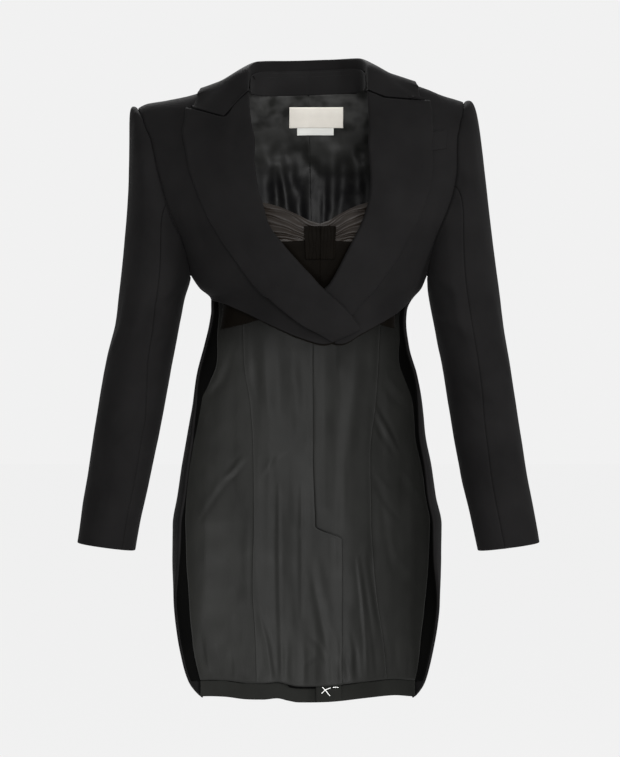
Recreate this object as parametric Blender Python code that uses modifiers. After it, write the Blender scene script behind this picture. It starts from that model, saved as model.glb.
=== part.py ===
"""Cropped tailcoat blazer with a sewn-in bustier, modelled as sewn pieces.

Frame: metres, +Z up, origin between the shoulders at the level of the neck
seam. The wearer looks along -Y, so the wearer's right is -X. Every cloth
piece is a thin shell on one common form of the garment, and the form comes
from the section tables below (millimetres and degrees).
"""

import math

import bpy
import bmesh
from mathutils import Vector

for old in list(bpy.data.objects):
    bpy.data.objects.remove(old, do_unlink=True)

MM = 0.001

# ---------------------------------------------------------------- sizes
SHELL_WALL = 1.4        # self cloth with its interlining
LINING_WALL = 1.0       # satin lining
BUST_WALL = 1.4         # bustier satin with its backing
SEAM = 0.25             # each piece stops this far short of its seam
SQUARE = 0.92           # squareness of the sections, 1 is an ellipse
RIDGE = 0.002           # the panels meet this far under the ridge line
SHOULDER_ROUND = 95.0   # height over which the shoulder rolls to the chest
WAIST_Z = -270.0        # level of the cropped front's side corners
UNDERARM_Z = -240.0     # lowest point of the armholes
LAPEL_LIFT = 5.2        # outer face of a lapel above its front panel
OVERLAP_LIFT = 7.0      # the right front rides over the left front by this
COLLAR_LEAN = 0.03      # the left shoulder sits a little higher
LINING_DROP = 5.6       # outer face of the lining inside the form
FACING_DROP = 4.2       # outer face of the facings inside the form
BUST_DROP = 11.0        # outer face of the bustier inside the form
VENT_TOP_Z = -578.0
VENT_LAP = 38.0


def monotone(xs, ys, x):
    """Smooth curve through the rows of a table, with no overshoot."""
    n = len(xs)
    if x <= xs[0]:
        return ys[0]
    if x >= xs[-1]:
        return ys[-1]
    d = [(ys[i + 1] - ys[i]) / (xs[i + 1] - xs[i]) for i in range(n - 1)]
    m = [d[0]] + [0.0] * (n - 2) + [d[-1]]
    for i in range(1, n - 1):
        if d[i - 1] * d[i] > 0:
            h0, h1 = xs[i] - xs[i - 1], xs[i + 1] - xs[i]
            w0, w1 = 2 * h1 + h0, h1 + 2 * h0
            m[i] = (w0 + w1) / (w0 / d[i - 1] + w1 / d[i])
    k = max(i for i in range(n - 1) if xs[i] <= x)
    h = xs[k + 1] - xs[k]
    t = (x - xs[k]) / h
    return (ys[k] * (1 + 2 * t) * (1 - t) ** 2 + m[k] * h * t * (1 - t) ** 2
            + ys[k + 1] * t * t * (3 - 2 * t) + m[k + 1] * h * t * t * (t - 1))


class Table:
    """Rows with named columns; the first column is the level."""

    def __init__(self, columns, *rows):
        self.columns = columns.split()
        rows = sorted(rows)
        self.level = [r[0] for r in rows]
        self.values = {c: [r[i] for r in rows] for i, c in enumerate(self.columns)}

    def at(self, level, column):
        return monotone(self.level, self.values[column], level)


# Half widths to the wearer's right and left, front and back depth.
# Above the underarm the widths are those of the section carried on
# under the sleeve.
FORM = Table(
    "z right left front back",
    (40, 300, 290, 52, 74),
    (0, 300, 290, 64, 82),
    (-21, 300, 290, 76, 90),
    (-46, 292, 280, 88, 96),
    (-73, 262, 252, 98, 101),
    (-109, 236, 235, 110, 106),
    (-138, 221, 220, 119, 108),
    (-165, 205, 204, 124, 107),
    (-188, 187, 186, 125, 105),
    (-215, 168, 170, 121, 100),
    (-240, 155, 158, 115, 94),
    (-256, 144, 151, 110, 89),
    (-270, 129, 139, 107, 85),
    (-285, 129, 132, 105, 83),
    (-300, 131, 131, 104, 83),
    (-331, 138, 134, 103, 87),
    (-371, 148, 145, 103, 96),
    (-411, 154, 152, 105, 104),
    (-451, 161, 156, 108, 110),
    (-491, 168, 164, 111, 114),
    (-531, 174, 170, 114, 117),
    (-571, 180, 178, 116, 119),
    (-610, 180, 178, 116, 120),
    (-660, 178, 177, 116, 120),
    (-723, 176, 176, 116, 119),
    (-830, 175, 175, 116, 117),
)

# Shoulder ridge, one row per distance from the centre.
SHOULDER = Table(
    "x right left",
    (0, 46, 46),
    (77, 27, 34),
    (110, 17, 25),
    (141, 6, 15),
    (161, 0, 8),
    (180, -4, 0),
    (196, -7, -5),
    (207, -9, -9),
    (215, -11, -14),
    (226, -17, -22),
    (250, -34, -40),
)

# Armhole seam: distance from the centre at each level, front and back.
ARMHOLE = Table(
    "z front_right front_left back_right back_left",
    (-15, 226, 207, 226, 207),
    (-30, 219, 203, 220, 205),
    (-46, 213, 199, 216, 203),
    (-73, 204, 196, 209, 200),
    (-109, 196, 195, 202, 198),
    (-138, 188, 189, 195, 192),
    (-165, 179, 179, 184, 183),
    (-188, 168, 169, 172, 172),
    (-215, 160, 162, 162, 163),
    (-240, 155, 158, 155, 158),
)

# Free front edge of the tail and edge of the lining, in degrees ahead of
# (+) or behind (-) the side line.
TAIL_EDGE = Table(
    "z edge lining_right lining_left",
    (-270, 0, -13, -10),
    (-307, 0, -18, -12),
    (-358, 1, -29, -26),
    (-385, 6, -23, -21),
    (-402, 11, -15, -17),
    (-430, 15, -14, -17),
    (-461, 18, -14, -18),
    (-507, 19, -13, -16),
    (-560, 20, -19, -18),
    (-605, 19, -21, -19),
    (-640, 14, -22, -20),
    (-665, 6, -23, -21),
    (-690, -2, -24, -23),
    (-723, -10, -26, -26),
    (-748, -16, -28, -28),
    (-765, -20, -30, -30),
    (-786, -26, -34, -34),
    (-797, -31, -38, -38),
    (-806, -36, -42, -42),
)

# Seams of the back, distance from the centre: the princess seams, from the
# armhole to the hem, and the centre seam.
BACK_SEAMS = Table(
    "z princess_right princess_left centre",
    (0, 202, 198, 1),
    (-109, 202, 198, 3),
    (-140, 172, 170, 4),
    (-180, 136, 140, 5),
    (-235, 104, 114, 6),
    (-300, 91, 101, 7),
    (-352, 89, 98, 7),
    (-413, 80, 94, 7),
    (-474, 76, 87, 7),
    (-567, 75, 88, 10),
    (-650, 77, 94, 11),
    (-733, 73, 105, 11),
    (-816, 71, 112, 11),
)

# Front edge of each front panel from the neck to the point, then its hem.
OPENING_RIGHT = ((-77, 24), (-77, 0), (-71, -54), (-69, -94), (-65, -126),
                 (-58, -150), (-50, -176), (-31, -202), (-6, -230), (21, -258),
                 (49, -286), (66, -310))
HEM_RIGHT = ((66, -310), (44, -323), (20, -331), (-12, -322), (-37, -311),
             (-65, -298), (-89, -287), (-110, -278), (-128, -270))
OPENING_LEFT = ((77, 31), (77, 0), (79, -34), (80, -94), (79, -142), (69, -174),
                (49, -213), (29, -250), (12, -270), (-14, -290), (-32, -300))
HEM_LEFT = ((-32, -300), (0, -316), (24, -326), (42, -331), (71, -317),
            (102, -300), (122, -287), (138, -271))

# Lapels: outer edge from the peak to the hem, and the notched top edge from
# the roll line to the peak.
LAPEL_EDGE_RIGHT = ((-160, -21), (-161, -36), (-160, -73), (-152, -110), (-135, -153),
                    (-112, -194), (-87, -227), (-56, -261), (-30, -286), (2, -311),
                    (30, -328))
LAPEL_TOP_RIGHT = ((-77, 0), (-94, -18), (-110, -36), (-130, -30), (-160, -21))
LAPEL_EDGE_LEFT = ((160, -11), (162, -34), (162, -93), (156, -133), (142, -169),
                   (122, -205), (90, -250), (58, -290), (34, -312))
LAPEL_TOP_LEFT = ((77, 0), (90, -6), (102, -11), (130, -12), (160, -11))
LAPEL_ROLL_RIGHT = OPENING_RIGHT[1:]
LAPEL_ROLL_LEFT = OPENING_LEFT[1:9] + ((20, -296),)

# Collar, from the centre back (station 0) to the gorge (station 4): the roll
# line, the outer edge of the fall and the foot of the stand.
COLLAR = Table(
    "station roll_x roll_y roll_z edge_x edge_y edge_z foot_x foot_y foot_z",
    (0.0, 0, 76, 54, 0, 92, -16, 0, 69, 6),
    (1.0, 45, 68, 54, 66, 86, -11, 41, 56, 8),
    (1.7, 66, 44, 52, 112, 56, -2, 57, 37, 16),
    (2.4, 75, 16, 46, 136, 24, 6, 71, 18, 26),
    (2.9, 79, -8, 38, 143, -8, 6, 75, -4, 27),
    (3.4, 80, -28, 22, 147, -34, -6, 77, -22, 12),
    (4.0, 79, -48, 0, 152, -52, -23, 77, -43, -2),
)

# Bustier: top edge of the cups and lower edges of its rows, by distance
# from the bustier's own centre line.
BUST_CENTRE = 16.0
BUST = Table(
    "x top cup_foot band_top band_foot",
    (0, -174, -197, -281, -303),
    (10, -170, -197, -281, -303),
    (22, -161, -198, -281, -302),
    (40, -149, -199, -280, -300),
    (60, -143, -201, -279, -299),
    (90, -145, -203, -278, -299),
    (110, -152, -205, -278, -303),
    (150, -170, -210, -278, -309),
)

# Sleeves: centre, half width and half depth of each section, measured
# outwards from the body for x.
SLEEVE_RIGHT = Table(
    "z x y half_width half_depth front_seam",
    (-275, 209, -4, 43, 60, 101),
    (-311, 215, -3, 42, 59, 103),
    (-351, 224, -1, 43, 58, 107),
    (-391, 231, 1, 43.5, 56, 114),
    (-431, 238, 0, 43, 54, 121),
    (-471, 245.5, -4, 42, 51, 123),
    (-510, 252, -10, 40.5, 48, 124),
    (-550, 259.5, -18, 39.5, 45, 124),
    (-598, 266.5, -28, 38.5, 42, 124),
)
SLEEVE_LEFT = Table(
    "z x y half_width half_depth front_seam",
    (-275, 209, -4, 46, 60, 88),
    (-311, 215, -3, 45, 59, 88),
    (-351, 222.5, -1, 44.5, 58, 89),
    (-391, 229, 1, 44, 56, 90),
    (-431, 235, 0, 44, 54, 93),
    (-471, 241.5, -4, 43.5, 51, 95),
    (-510, 248, -10, 43, 48, 97),
    (-550, 256.5, -18, 42, 45, 99),
    (-598, 265.5, -28, 41, 42, 99),
)
SLEEVE_BACK_SEAM = -128.0
CUFF_SLOPE = 0.135

CLOTH_BLACK = (0.016, 0.016, 0.017, 1.0)
LINING_BLACK = (0.030, 0.030, 0.029, 1.0)
SATIN_BROWN = (0.032, 0.024, 0.019, 1.0)
LABEL_CREAM = (0.80, 0.77, 0.70, 1.0)


# ----------------------------------------------------------------- form
def ease(t):
    t = max(0.0, min(1.0, t))
    return t * t * (3 - 2 * t)


def shoulder_z(x):
    return SHOULDER.at(abs(x), "left" if x > 0 else "right")


def shoulder_roll(x, z):
    t = (shoulder_z(x) - z) / SHOULDER_ROUND
    t = max(0.0, min(1.0, t))
    return math.sqrt(max(0.0, 1 - (1 - t) ** 2))


def form_point(face, angle, z):
    """Point of the form. Face 'front' counts degrees from the centre front,
    'back' from the centre back; both may run past the side line."""
    a = math.radians(angle)
    half = FORM.at(z, "left" if angle > 0 else "right")
    x = half * math.copysign(abs(math.sin(a)) ** SQUARE, angle)
    c = math.cos(a)
    near = "front" if (face == "front") == (c >= 0) else "back"
    depth = FORM.at(z, near) * abs(c) ** SQUARE
    y = depth * shoulder_roll(x, z) * (-1 if near == "front" else 1)
    return Vector((x, y, z))


def form_normal(face, angle, z):
    da, dz = 0.6, 0.8
    p = form_point(face, angle, z)
    u = form_point(face, angle + da, z) - form_point(face, angle - da, z)
    v = form_point(face, angle, z + 0.02) - form_point(face, angle, z - dz)
    n = u.cross(v)
    if face == "back":
        n = -n
    if n.length < 1e-9:
        return Vector((0, 0, 1))
    return n.normalized()


def lifted(face, angle, z, lift):
    return form_point(face, angle, z) + form_normal(face, angle, z) * lift


def to_angle(face, x, z):
    half = FORM.at(z, "left" if x > 0 else "right")
    r = min(1.0, abs(x) / half)
    return math.copysign(math.degrees(math.asin(r ** (1 / SQUARE))), x)


# ---------------------------------------------------------------- shells
collection = bpy.data.collections.new("blazer")
bpy.context.scene.collection.children.link(collection)
root = bpy.data.objects.new("blazer", None)
collection.objects.link(root)


def material(name, colour, roughness):
    m = bpy.data.materials.get(name)
    if m is None:
        m = bpy.data.materials.new(name)
        m.use_nodes = True
        bsdf = m.node_tree.nodes["Principled BSDF"]
        bsdf.inputs["Base Color"].default_value = colour
        bsdf.inputs["Roughness"].default_value = roughness
        bsdf.inputs["Metallic"].default_value = 0.0
    return m


FINISH = {
    "shell": ("black_crepe", CLOTH_BLACK, 0.9),
    "lining": ("black_satin", LINING_BLACK, 0.45),
    "bust": ("brown_satin", SATIN_BROWN, 0.4),
    "label": ("cream_label", LABEL_CREAM, 0.8),
}


def shell(name, grid, wall, finish, outward, pull=SEAM):
    """One cloth piece: a grid of points (columns of rows, millimetres), its
    borders pulled back from the seams, given its wall by Solidify."""
    nu, nv = len(grid) - 1, len(grid[0]) - 1
    pts = [[Vector(p) for p in column] for column in grid]
    if pull:
        for j in range(nv + 1):
            for i, k in ((0, 1), (nu, nu - 1)):
                step = grid[k][j] - grid[i][j]
                if step.length > 1e-6:
                    pts[i][j] = pts[i][j] + step.normalized() * min(pull, step.length * 0.3)
        for i in range(nu + 1):
            for j, k in ((0, 1), (nv, nv - 1)):
                step = grid[i][k] - grid[i][j]
                if step.length > 1e-6:
                    pts[i][j] = pts[i][j] + step.normalized() * min(pull, step.length * 0.3)
    bm = bmesh.new()
    bmesh.ops.create_grid(bm, x_segments=nu, y_segments=nv, size=0.5)
    for v in bm.verts:
        i = round((v.co.x + 0.5) * nu)
        j = round((v.co.y + 0.5) * nv)
        v.co = pts[i][j] * MM
    bm.normal_update()
    facing = sum((f.normal.dot(outward(f.calc_center_median() / MM)) * f.calc_area()
                  for f in bm.faces), 0.0)
    if facing < 0:
        bmesh.ops.reverse_faces(bm, faces=bm.faces)
    mesh = bpy.data.meshes.new(name)
    bm.to_mesh(mesh)
    bm.free()
    for poly in mesh.polygons:
        poly.use_smooth = True
    label, colour, rough = FINISH[finish]
    mesh.materials.append(material(label, colour, rough))
    obj = bpy.data.objects.new(name, mesh)
    collection.objects.link(obj)
    obj.parent = root
    solid = obj.modifiers.new("wall", "SOLIDIFY")
    solid.thickness = wall * MM
    solid.offset = -1
    solid.use_even_offset = False
    solid.use_rim = True
    return obj


def away_from_axis(p):
    return Vector((p.x * 0.6, p.y + 0.001, 0.0)).normalized()


class Edge:
    """A seam or edge through a few (angle, z) points, by arc length."""

    def __init__(self, points):
        self.a = [p[0] for p in points]
        self.z = [p[1] for p in points]
        s = [0.0]
        for i in range(1, len(points)):
            s.append(s[-1] + max(1e-3, math.hypot(2.4 * (self.a[i] - self.a[i - 1]),
                                                  self.z[i] - self.z[i - 1])))
        self.s = [v / s[-1] for v in s]

    def at(self, t):
        return monotone(self.s, self.a, t), monotone(self.s, self.z, t)


def edge_xz(face, points):
    return Edge([(to_angle(face, x, z), z) for x, z in points])


def coons(top, bottom, first, last, u, v):
    """Point inside four edges: top and bottom run with u, the others with v."""
    out = []
    for k in range(2):
        t, b = top.at(u)[k], bottom.at(u)[k]
        f, l = first.at(v)[k], last.at(v)[k]
        corner = ((1 - u) * (1 - v) * top.at(0)[k] + u * (1 - v) * top.at(1)[k]
                  + (1 - u) * v * bottom.at(0)[k] + u * v * bottom.at(1)[k])
        out.append((1 - v) * t + v * b + (1 - u) * f + u * l - corner)
    return out


PANEL_ROWS = (0.0, 0.004, 0.02, 0.06, 0.12, 0.20, 0.30, 0.40, 0.50, 0.60, 0.70, 0.80,
              0.90, 1.0)
LAPEL_ROWS = tuple(j / 12 for j in range(13))


def snap_to_ridge(face, angle, z):
    """Level of the ridge above a point that lies just under it."""
    if shoulder_z(form_point(face, angle, z).x) - z > 4.0:
        return z
    for _ in range(8):
        z = shoulder_z(form_point(face, angle, z).x) - RIDGE
    return z


def coons_grid(face, top, bottom, first, last, nu, rows, lift, snap=False):
    nv = len(rows) - 1
    grid = []
    for i in range(nu + 1):
        column = []
        for j in range(nv + 1):
            u = i / nu
            v = rows[j]
            a, z = coons(top, bottom, first, last, u, v)
            z = min(z, shoulder_z(form_point(face, a, z).x) - RIDGE)
            if snap and j == 0:
                z = snap_to_ridge(face, a, z)
            column.append(lifted(face, a, z, lift(a, z)))
        grid.append(column)
    return grid


def overlap_lift(x, z):
    """How far the right front stands off where it covers the left front."""
    return OVERLAP_LIFT * ease((x + 85) / 50) * ease((-222 - z) / 36)


# ---------------------------------------------------------------- fronts
def shoulder_edge(side, face, x0, x1, steps=6):
    points = []
    for k in range(steps + 1):
        x = x0 + (x1 - x0) * k / steps
        z = shoulder_z(side * x) - RIDGE
        points.append((to_angle(face, side * x, z), z))
    return points


def armhole_edge(side, face, z_stop=UNDERARM_Z, z_start=None):
    column = face + ("_left" if side > 0 else "_right")
    levels = [-22, -34, -50, -73, -109, -138, -165, -188, -205, -222, -232, -240]
    sp = 207 if side > 0 else 226
    points = []
    if z_start is None:
        z0 = shoulder_z(side * sp) - RIDGE
        points.append((to_angle(face, side * sp, z0), z0))
        levels = [z for z in levels if z < z0 - 6]
    else:
        levels = [z_start] + [z for z in levels if z < z_start - 2]
    for z in levels:
        if z >= z_stop:
            angle = to_angle(face, side * ARMHOLE.at(z, column), z)
            if z <= UNDERARM_Z:
                angle = side * 90.0
            points.append((angle, z))
    return points


def front_panel(side, opening, hem, name, lift):
    sp = 207 if side > 0 else 226
    top = Edge(shoulder_edge(side, "front", 77, sp))
    arm = armhole_edge(side, "front")
    arm += [(side * 90.0, -256), (side * 90.0, WAIST_Z)]
    first = edge_xz("front", opening)
    last = Edge(arm)
    bottom = edge_xz("front", hem)
    bottom.a[-1] = side * 90.0
    grid = coons_grid("front", top, bottom, first, last, 9, PANEL_ROWS, lift, True)
    return shell(name, grid, SHELL_WALL, "shell", away_from_axis)


front_panel(-1, OPENING_RIGHT, HEM_RIGHT, "front_right",
            lambda a, z: overlap_lift(form_point("front", a, z).x, z))
front_panel(1, OPENING_LEFT, HEM_LEFT, "front_left", lambda a, z: 0.0)


def lapel(side, name, roll, edge, top, lift):
    first = edge_xz("front", roll)
    last = edge_xz("front", edge)
    head = edge_xz("front", top)
    foot = edge_xz("front", (roll[-1], edge[-1]))
    grid = coons_grid("front", head, foot, first, last, 4, LAPEL_ROWS, lift)
    return shell(name, grid, SHELL_WALL, "shell", away_from_axis, pull=0.6)


lapel(-1, "lapel_right", LAPEL_ROLL_RIGHT, LAPEL_EDGE_RIGHT, LAPEL_TOP_RIGHT,
      lambda a, z: LAPEL_LIFT + overlap_lift(form_point("front", a, z).x, z))
lapel(1, "lapel_left", LAPEL_ROLL_LEFT, LAPEL_EDGE_LEFT, LAPEL_TOP_LEFT,
      lambda a, z: LAPEL_LIFT * (1 - 0.25 * ease((-262 - z) / 25)))

# Breast welt, slanted, its near end under the lapel.
WELT = ((112, -60), (181, -49), (181, -74), (112, -85))
welt_top = edge_xz("front", (WELT[0], WELT[1]))
welt_foot = edge_xz("front", (WELT[3], WELT[2]))
welt_in = edge_xz("front", (WELT[0], WELT[3]))
welt_out = edge_xz("front", (WELT[1], WELT[2]))
welt_grid = [[lifted("front", *coons(welt_top, welt_foot, welt_in, welt_out, i / 4, j / 2), 1.9)
              for j in range(3)] for i in range(5)]
shell("pocket_welt", welt_grid, 1.1, "shell", away_from_axis, pull=0.0)


# ------------------------------------------------------------ back panels
UPPER = (0.0, 0.005, 0.025, 0.08, 0.18, 0.32, 0.48, 0.64, 0.78, 0.90, 1.0)
LOWER = (0.035, 0.09, 0.165, 0.25, 0.35, 0.46, 0.58, 0.70, 0.82, 0.93, 1.0)


def hem_z(angle):
    """Hem level of the tail by degrees from the centre back."""
    return -814 + 9 * ease(abs(angle) / 55)


def rows_between(top_z, bottom_z, upper=UPPER, lower=LOWER):
    rows = [top_z + (WAIST_Z - top_z) * f for f in upper]
    rows += [WAIST_Z + (bottom_z - WAIST_Z) * g for g in lower]
    return rows


def hanging_grid(top, inner, outer, nu, drop, foot, upper=UPPER, lower=LOWER,
                 snap=False):
    """Back pieces: every row runs level below the waist, so the layers
    keep their distance. top(u) gives (angle, z); inner and outer give the
    angle of the two long edges at a level; drop(a, z) goes inwards."""
    head = [top(i / nu) for i in range(nu + 1)]
    grid = [[] for _ in range(nu + 1)]
    levels = [rows_between(h[1], foot(h[0]), upper, lower) for h in head]
    count = len(levels[0])
    for j in range(count):
        a0 = inner(levels[0][j]) if j else head[0][0]
        a1 = outer(levels[nu][j]) if j else head[nu][0]
        for i in range(nu + 1):
            t = i / nu
            a = a0 + (a1 - a0) * t
            if j < len(upper):
                # the top edge keeps its own spacing and blends downwards
                w = 1 - upper[j]
                a = a + (head[i][0] - (head[0][0] + (head[nu][0] - head[0][0]) * t)) * w * w
            base = foot(a)
            z = levels[i][j]
            if j >= len(upper):
                z = WAIST_Z + (base - WAIST_Z) * lower[j - len(upper)]
            if j == 0 and snap:
                z = snap_to_ridge("back", a, z)
            grid[i].append(lifted("back", a, z, -drop(a, z)))
    return grid


def back_top(side, x_neck=2.0, lift=0.0):
    """Neck curve from the centre back, then the shoulder seam."""
    sp = 207 if side > 0 else 226
    points = []
    for x, z in ((x_neck, 4), (30, 6), (52, 12), (66, 20)):
        points.append((to_angle("back", side * x, z), z))
    for k in range(6):
        x = 77 + (sp - 77) * k / 5
        z = shoulder_z(side * x) - RIDGE
        points.append((to_angle("back", side * x, z), z))
    return Edge(points)


def seam_angle(column, side, z):
    x = BACK_SEAMS.at(z, column)
    if column == "centre":
        return to_angle("back", x, z)
    return to_angle("back", side * x, z)


SEAM_ROW = 5            # row of the back panel where the princess seam starts
UPPER_BELOW_SEAM = tuple((f - UPPER[SEAM_ROW]) / (1 - UPPER[SEAM_ROW])
                         for f in UPPER[SEAM_ROW:])


def princess_z(side, start=0.0):
    """Level where the princess seam leaves the armhole."""
    sp = 207 if side > 0 else 226
    top = shoulder_z(side * sp) - RIDGE + start
    return top + (WAIST_Z - top) * UPPER[SEAM_ROW]


def back_outer(side):
    column = "princess_left" if side > 0 else "princess_right"
    arm = "back_left" if side > 0 else "back_right"

    def angle(z):
        start = princess_z(side)
        if z > start - 0.01:
            return to_angle("back", side * ARMHOLE.at(z, arm), z)
        x = BACK_SEAMS.at(z, column)
        blend = ease((z - start + 30) / 30)
        return to_angle("back", side * (x + (ARMHOLE.at(z, arm) - x) * blend), z)
    return angle


for side, name in ((-1, "back_right"), (1, "back_left")):
    edge = back_top(side)
    grid = hanging_grid(edge.at, lambda z, s=side: seam_angle("centre", s, z),
                        back_outer(side), 7, lambda a, z: 0.0, hem_z, snap=True)
    shell(name, grid, SHELL_WALL, "shell", away_from_axis)


def tail_edge_angle(side):
    return lambda z: side * (90.0 + TAIL_EDGE.at(z, "edge"))


for side, name in ((-1, "side_back_right"), (1, "side_back_left")):
    arm = Edge(armhole_edge(side, "back", z_start=princess_z(side)))
    grid = hanging_grid(arm.at, back_outer(side),
                        tail_edge_angle(side), 7, lambda a, z: 0.0, hem_z,
                        upper=UPPER_BELOW_SEAM)
    shell(name, grid, SHELL_WALL, "shell", away_from_axis)


# Vent underlap: the right back panel's extension, inside the left one.
lap_rows = (0.0, 0.12, 0.3, 0.48, 0.66, 0.84, 1.0)
grid = []
for i in range(4):
    column = []
    for g in lap_rows:
        x = 13 + VENT_LAP * 0.88 * i / 3
        z_top = VENT_TOP_Z - 16 * i / 3
        z = z_top + (-817.5 - z_top) * g
        column.append(lifted("back", to_angle("back", x, z), z, -(LINING_DROP + 3.4)))
    grid.append(column)
shell("vent_underlap", grid, SHELL_WALL, "shell", away_from_axis, pull=0.0)


# --------------------------------------------------- lining and facings
def band_top(angle):
    """Top of the turned-up hem, where the lining ends."""
    return hem_z(angle) + 22.5


def right_lining_drop(a, z):
    """The right lining passes over the vent underlap."""
    x = form_point("back", a, z).x
    return LINING_DROP + 6.6 * ease((x + 34) / 34) * ease((-520 - z) / 30)


def lining_centre(z, side):
    x = BACK_SEAMS.at(z, "centre")
    if side < 0:
        x += VENT_LAP * ease((VENT_TOP_Z + 2 - z) / 20)
    return to_angle("back", x, z)


def lining_top(side):
    points = []
    for x, z in ((2, 3), (30, 5.5), (50, 12), (64, 21)):
        points.append((to_angle("back", side * x, z), z))
    sp = 207 if side > 0 else 226
    for k in range(6):
        x = 77 + (sp - 8 - 77) * k / 5
        z = shoulder_z(side * (x + 8 * k / 5)) - 0.15 - 9.0
        points.append((to_angle("back", side * x, z), z))
    return Edge(points)


def lining_outer(side):
    column = "princess_left" if side > 0 else "princess_right"
    arm = "back_left" if side > 0 else "back_right"

    def angle(z):
        start = princess_z(side, -9.0)
        if z > start - 0.01:
            return to_angle("back", side * (ARMHOLE.at(z, arm) - 8), z)
        x = BACK_SEAMS.at(z, column)
        blend = ease((z - start + 30) / 30)
        return to_angle("back", side * (x + (ARMHOLE.at(z, arm) - 8 - x) * blend), z)
    return angle


for side, name in ((-1, "lining_right"), (1, "lining_left")):
    drop = right_lining_drop if side < 0 else (lambda a, z: LINING_DROP)
    grid = hanging_grid(lining_top(side).at, lambda z, s=side: lining_centre(z, s),
                        lining_outer(side), 5, drop, band_top)
    shell(name, grid, LINING_WALL, "lining", away_from_axis, pull=0.4)


def lining_edge_angle(side, ahead=0.0):
    column = "lining_left" if side > 0 else "lining_right"
    return lambda z: side * (90.0 + TAIL_EDGE.at(z, column) + ahead)


for side, name in ((-1, "lining_side_right"), (1, "lining_side_left")):
    start = princess_z(side, -9.0)
    arm_points = armhole_edge(side, "back", z_start=start)
    last = len(arm_points) - 1
    inset = [(a - side * (12.0 * (k / last) ** 2 + 3.0 * (k > 0)), z - 7 * (k > 0))
             for k, (a, z) in enumerate(arm_points)]
    inset[0] = (lining_outer(side)(start), start)
    arm = Edge(inset)
    edge_of = lining_edge_angle(side)
    grid = hanging_grid(arm.at, lining_outer(side),
                        lambda z, s=side, e=edge_of: e(min(z, WAIST_Z)), 4,
                        lambda a, z: LINING_DROP, band_top,
                        upper=UPPER_BELOW_SEAM)
    shell(name, grid, LINING_WALL, "lining", away_from_axis, pull=0.4)

for side, name in ((-1, "tail_facing_right"), (1, "tail_facing_left")):
    inner = lining_edge_angle(side, 0.8)
    outer = tail_edge_angle(side)
    grid = []
    for i in range(5):
        column = []
        for j, g in enumerate((0.02,) + LOWER):
            z_in = WAIST_Z + (band_top(70) - WAIST_Z) * g
            z_out = z_in
            a0, a1 = inner(z_in), outer(z_out) - side * 1.0
            a = a0 + (a1 - a0) * i / 4
            drop = LINING_DROP + (FACING_DROP - LINING_DROP) * ease(i / 3)
            column.append(lifted("back", a, z_in, -drop))
        grid.append(column)
    shell(name, grid, SHELL_WALL, "shell", away_from_axis, pull=0.3)

# Turned-up hem, in two pieces that meet beside the vent.
for side, name in ((-1, "hem_band_right"), (1, "hem_band_left")):
    grid = []
    for i in range(11):
        column = []
        for f in (0.0, 1.0):
            end = side * 50.0
            x_start = BACK_SEAMS.at(-800, "centre") + (-1.2 if side < 0 else 1.2)
            a0 = to_angle("back", x_start, -800)
            a = a0 + (end - a0) * i / 10
            z = band_top(a) - 1.0 + (hem_z(a) + 0.5 - (band_top(a) - 1.0)) * f
            column.append(lifted("back", a, z, -FACING_DROP))
        grid.append(column)
    shell(name, grid, SHELL_WALL, "shell", away_from_axis, pull=0.0)


# -------------------------------------------------------------- bustier
def bust_point(x, z, extra=0.0):
    """Bustier surface: inside the fronts, with the fullness of the cups."""
    a = to_angle("front", x, z)
    fullness = 0.0
    for centre in (-54, 66):
        d = ((x - centre) / 62) ** 2 + ((z + 186) / 42) ** 2
        fullness += 4.5 * math.exp(-d * 1.6)
    return lifted("front", a, z, -BUST_DROP + fullness + extra)


def bust_piece(side, name, upper, lower, x0, x1, nu, nv, trim=0.35):
    grid = []
    for i in range(nu + 1):
        d = x0 + (x1 - x0) * i / nu
        column = []
        for j in range(nv + 1):
            f = j / nv
            z = BUST.at(d, upper) - trim + (BUST.at(d, lower) - BUST.at(d, upper) + 2 * trim) * f
            half = FORM.at(z, "left" if side > 0 else "right")
            reach = min(1.0, d / x1) * (0.955 * half - side * BUST_CENTRE)
            column.append(bust_point(BUST_CENTRE + side * reach, z))
        grid.append(column)
    return shell(name, grid, BUST_WALL, "bust", away_from_axis)


for side, tag in ((-1, "right"), (1, "left")):
    bust_piece(side, "cup_" + tag, "top", "cup_foot", 0.0, 150.0, 7, 3)
    bust_piece(side, "underbust_" + tag, "cup_foot", "band_top", 0.0, 150.0, 7, 3)
    bust_piece(side, "bust_band_" + tag, "band_top", "band_foot", 0.0, 150.0, 7, 1)

bridge = []
for i in range(5):
    column = []
    for f in (0.0, 0.5, 1.0):
        x = BUST_CENTRE + (-20 + 10 * i) * (1 - 0.25 * f)
        z = -181 + (-219 + 181) * f
        column.append(bust_point(x, z, 3.2))
    bridge.append(column)
shell("bust_bridge", bridge, 1.2, "bust", away_from_axis, pull=0.0)


# --------------------------------------------------------------- collar
def collar_station(s):
    """Roll, edge and foot of the collar at a signed station, -4 to 4."""
    side = 1 if s > 0 else -1
    out = []
    for part in ("roll", "edge", "foot"):
        x, y, z = (COLLAR.at(abs(s), part + "_" + c) for c in "xyz")
        x *= side
        out.append(Vector((x, y, z + COLLAR_LEAN * x)))
    return out


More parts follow.
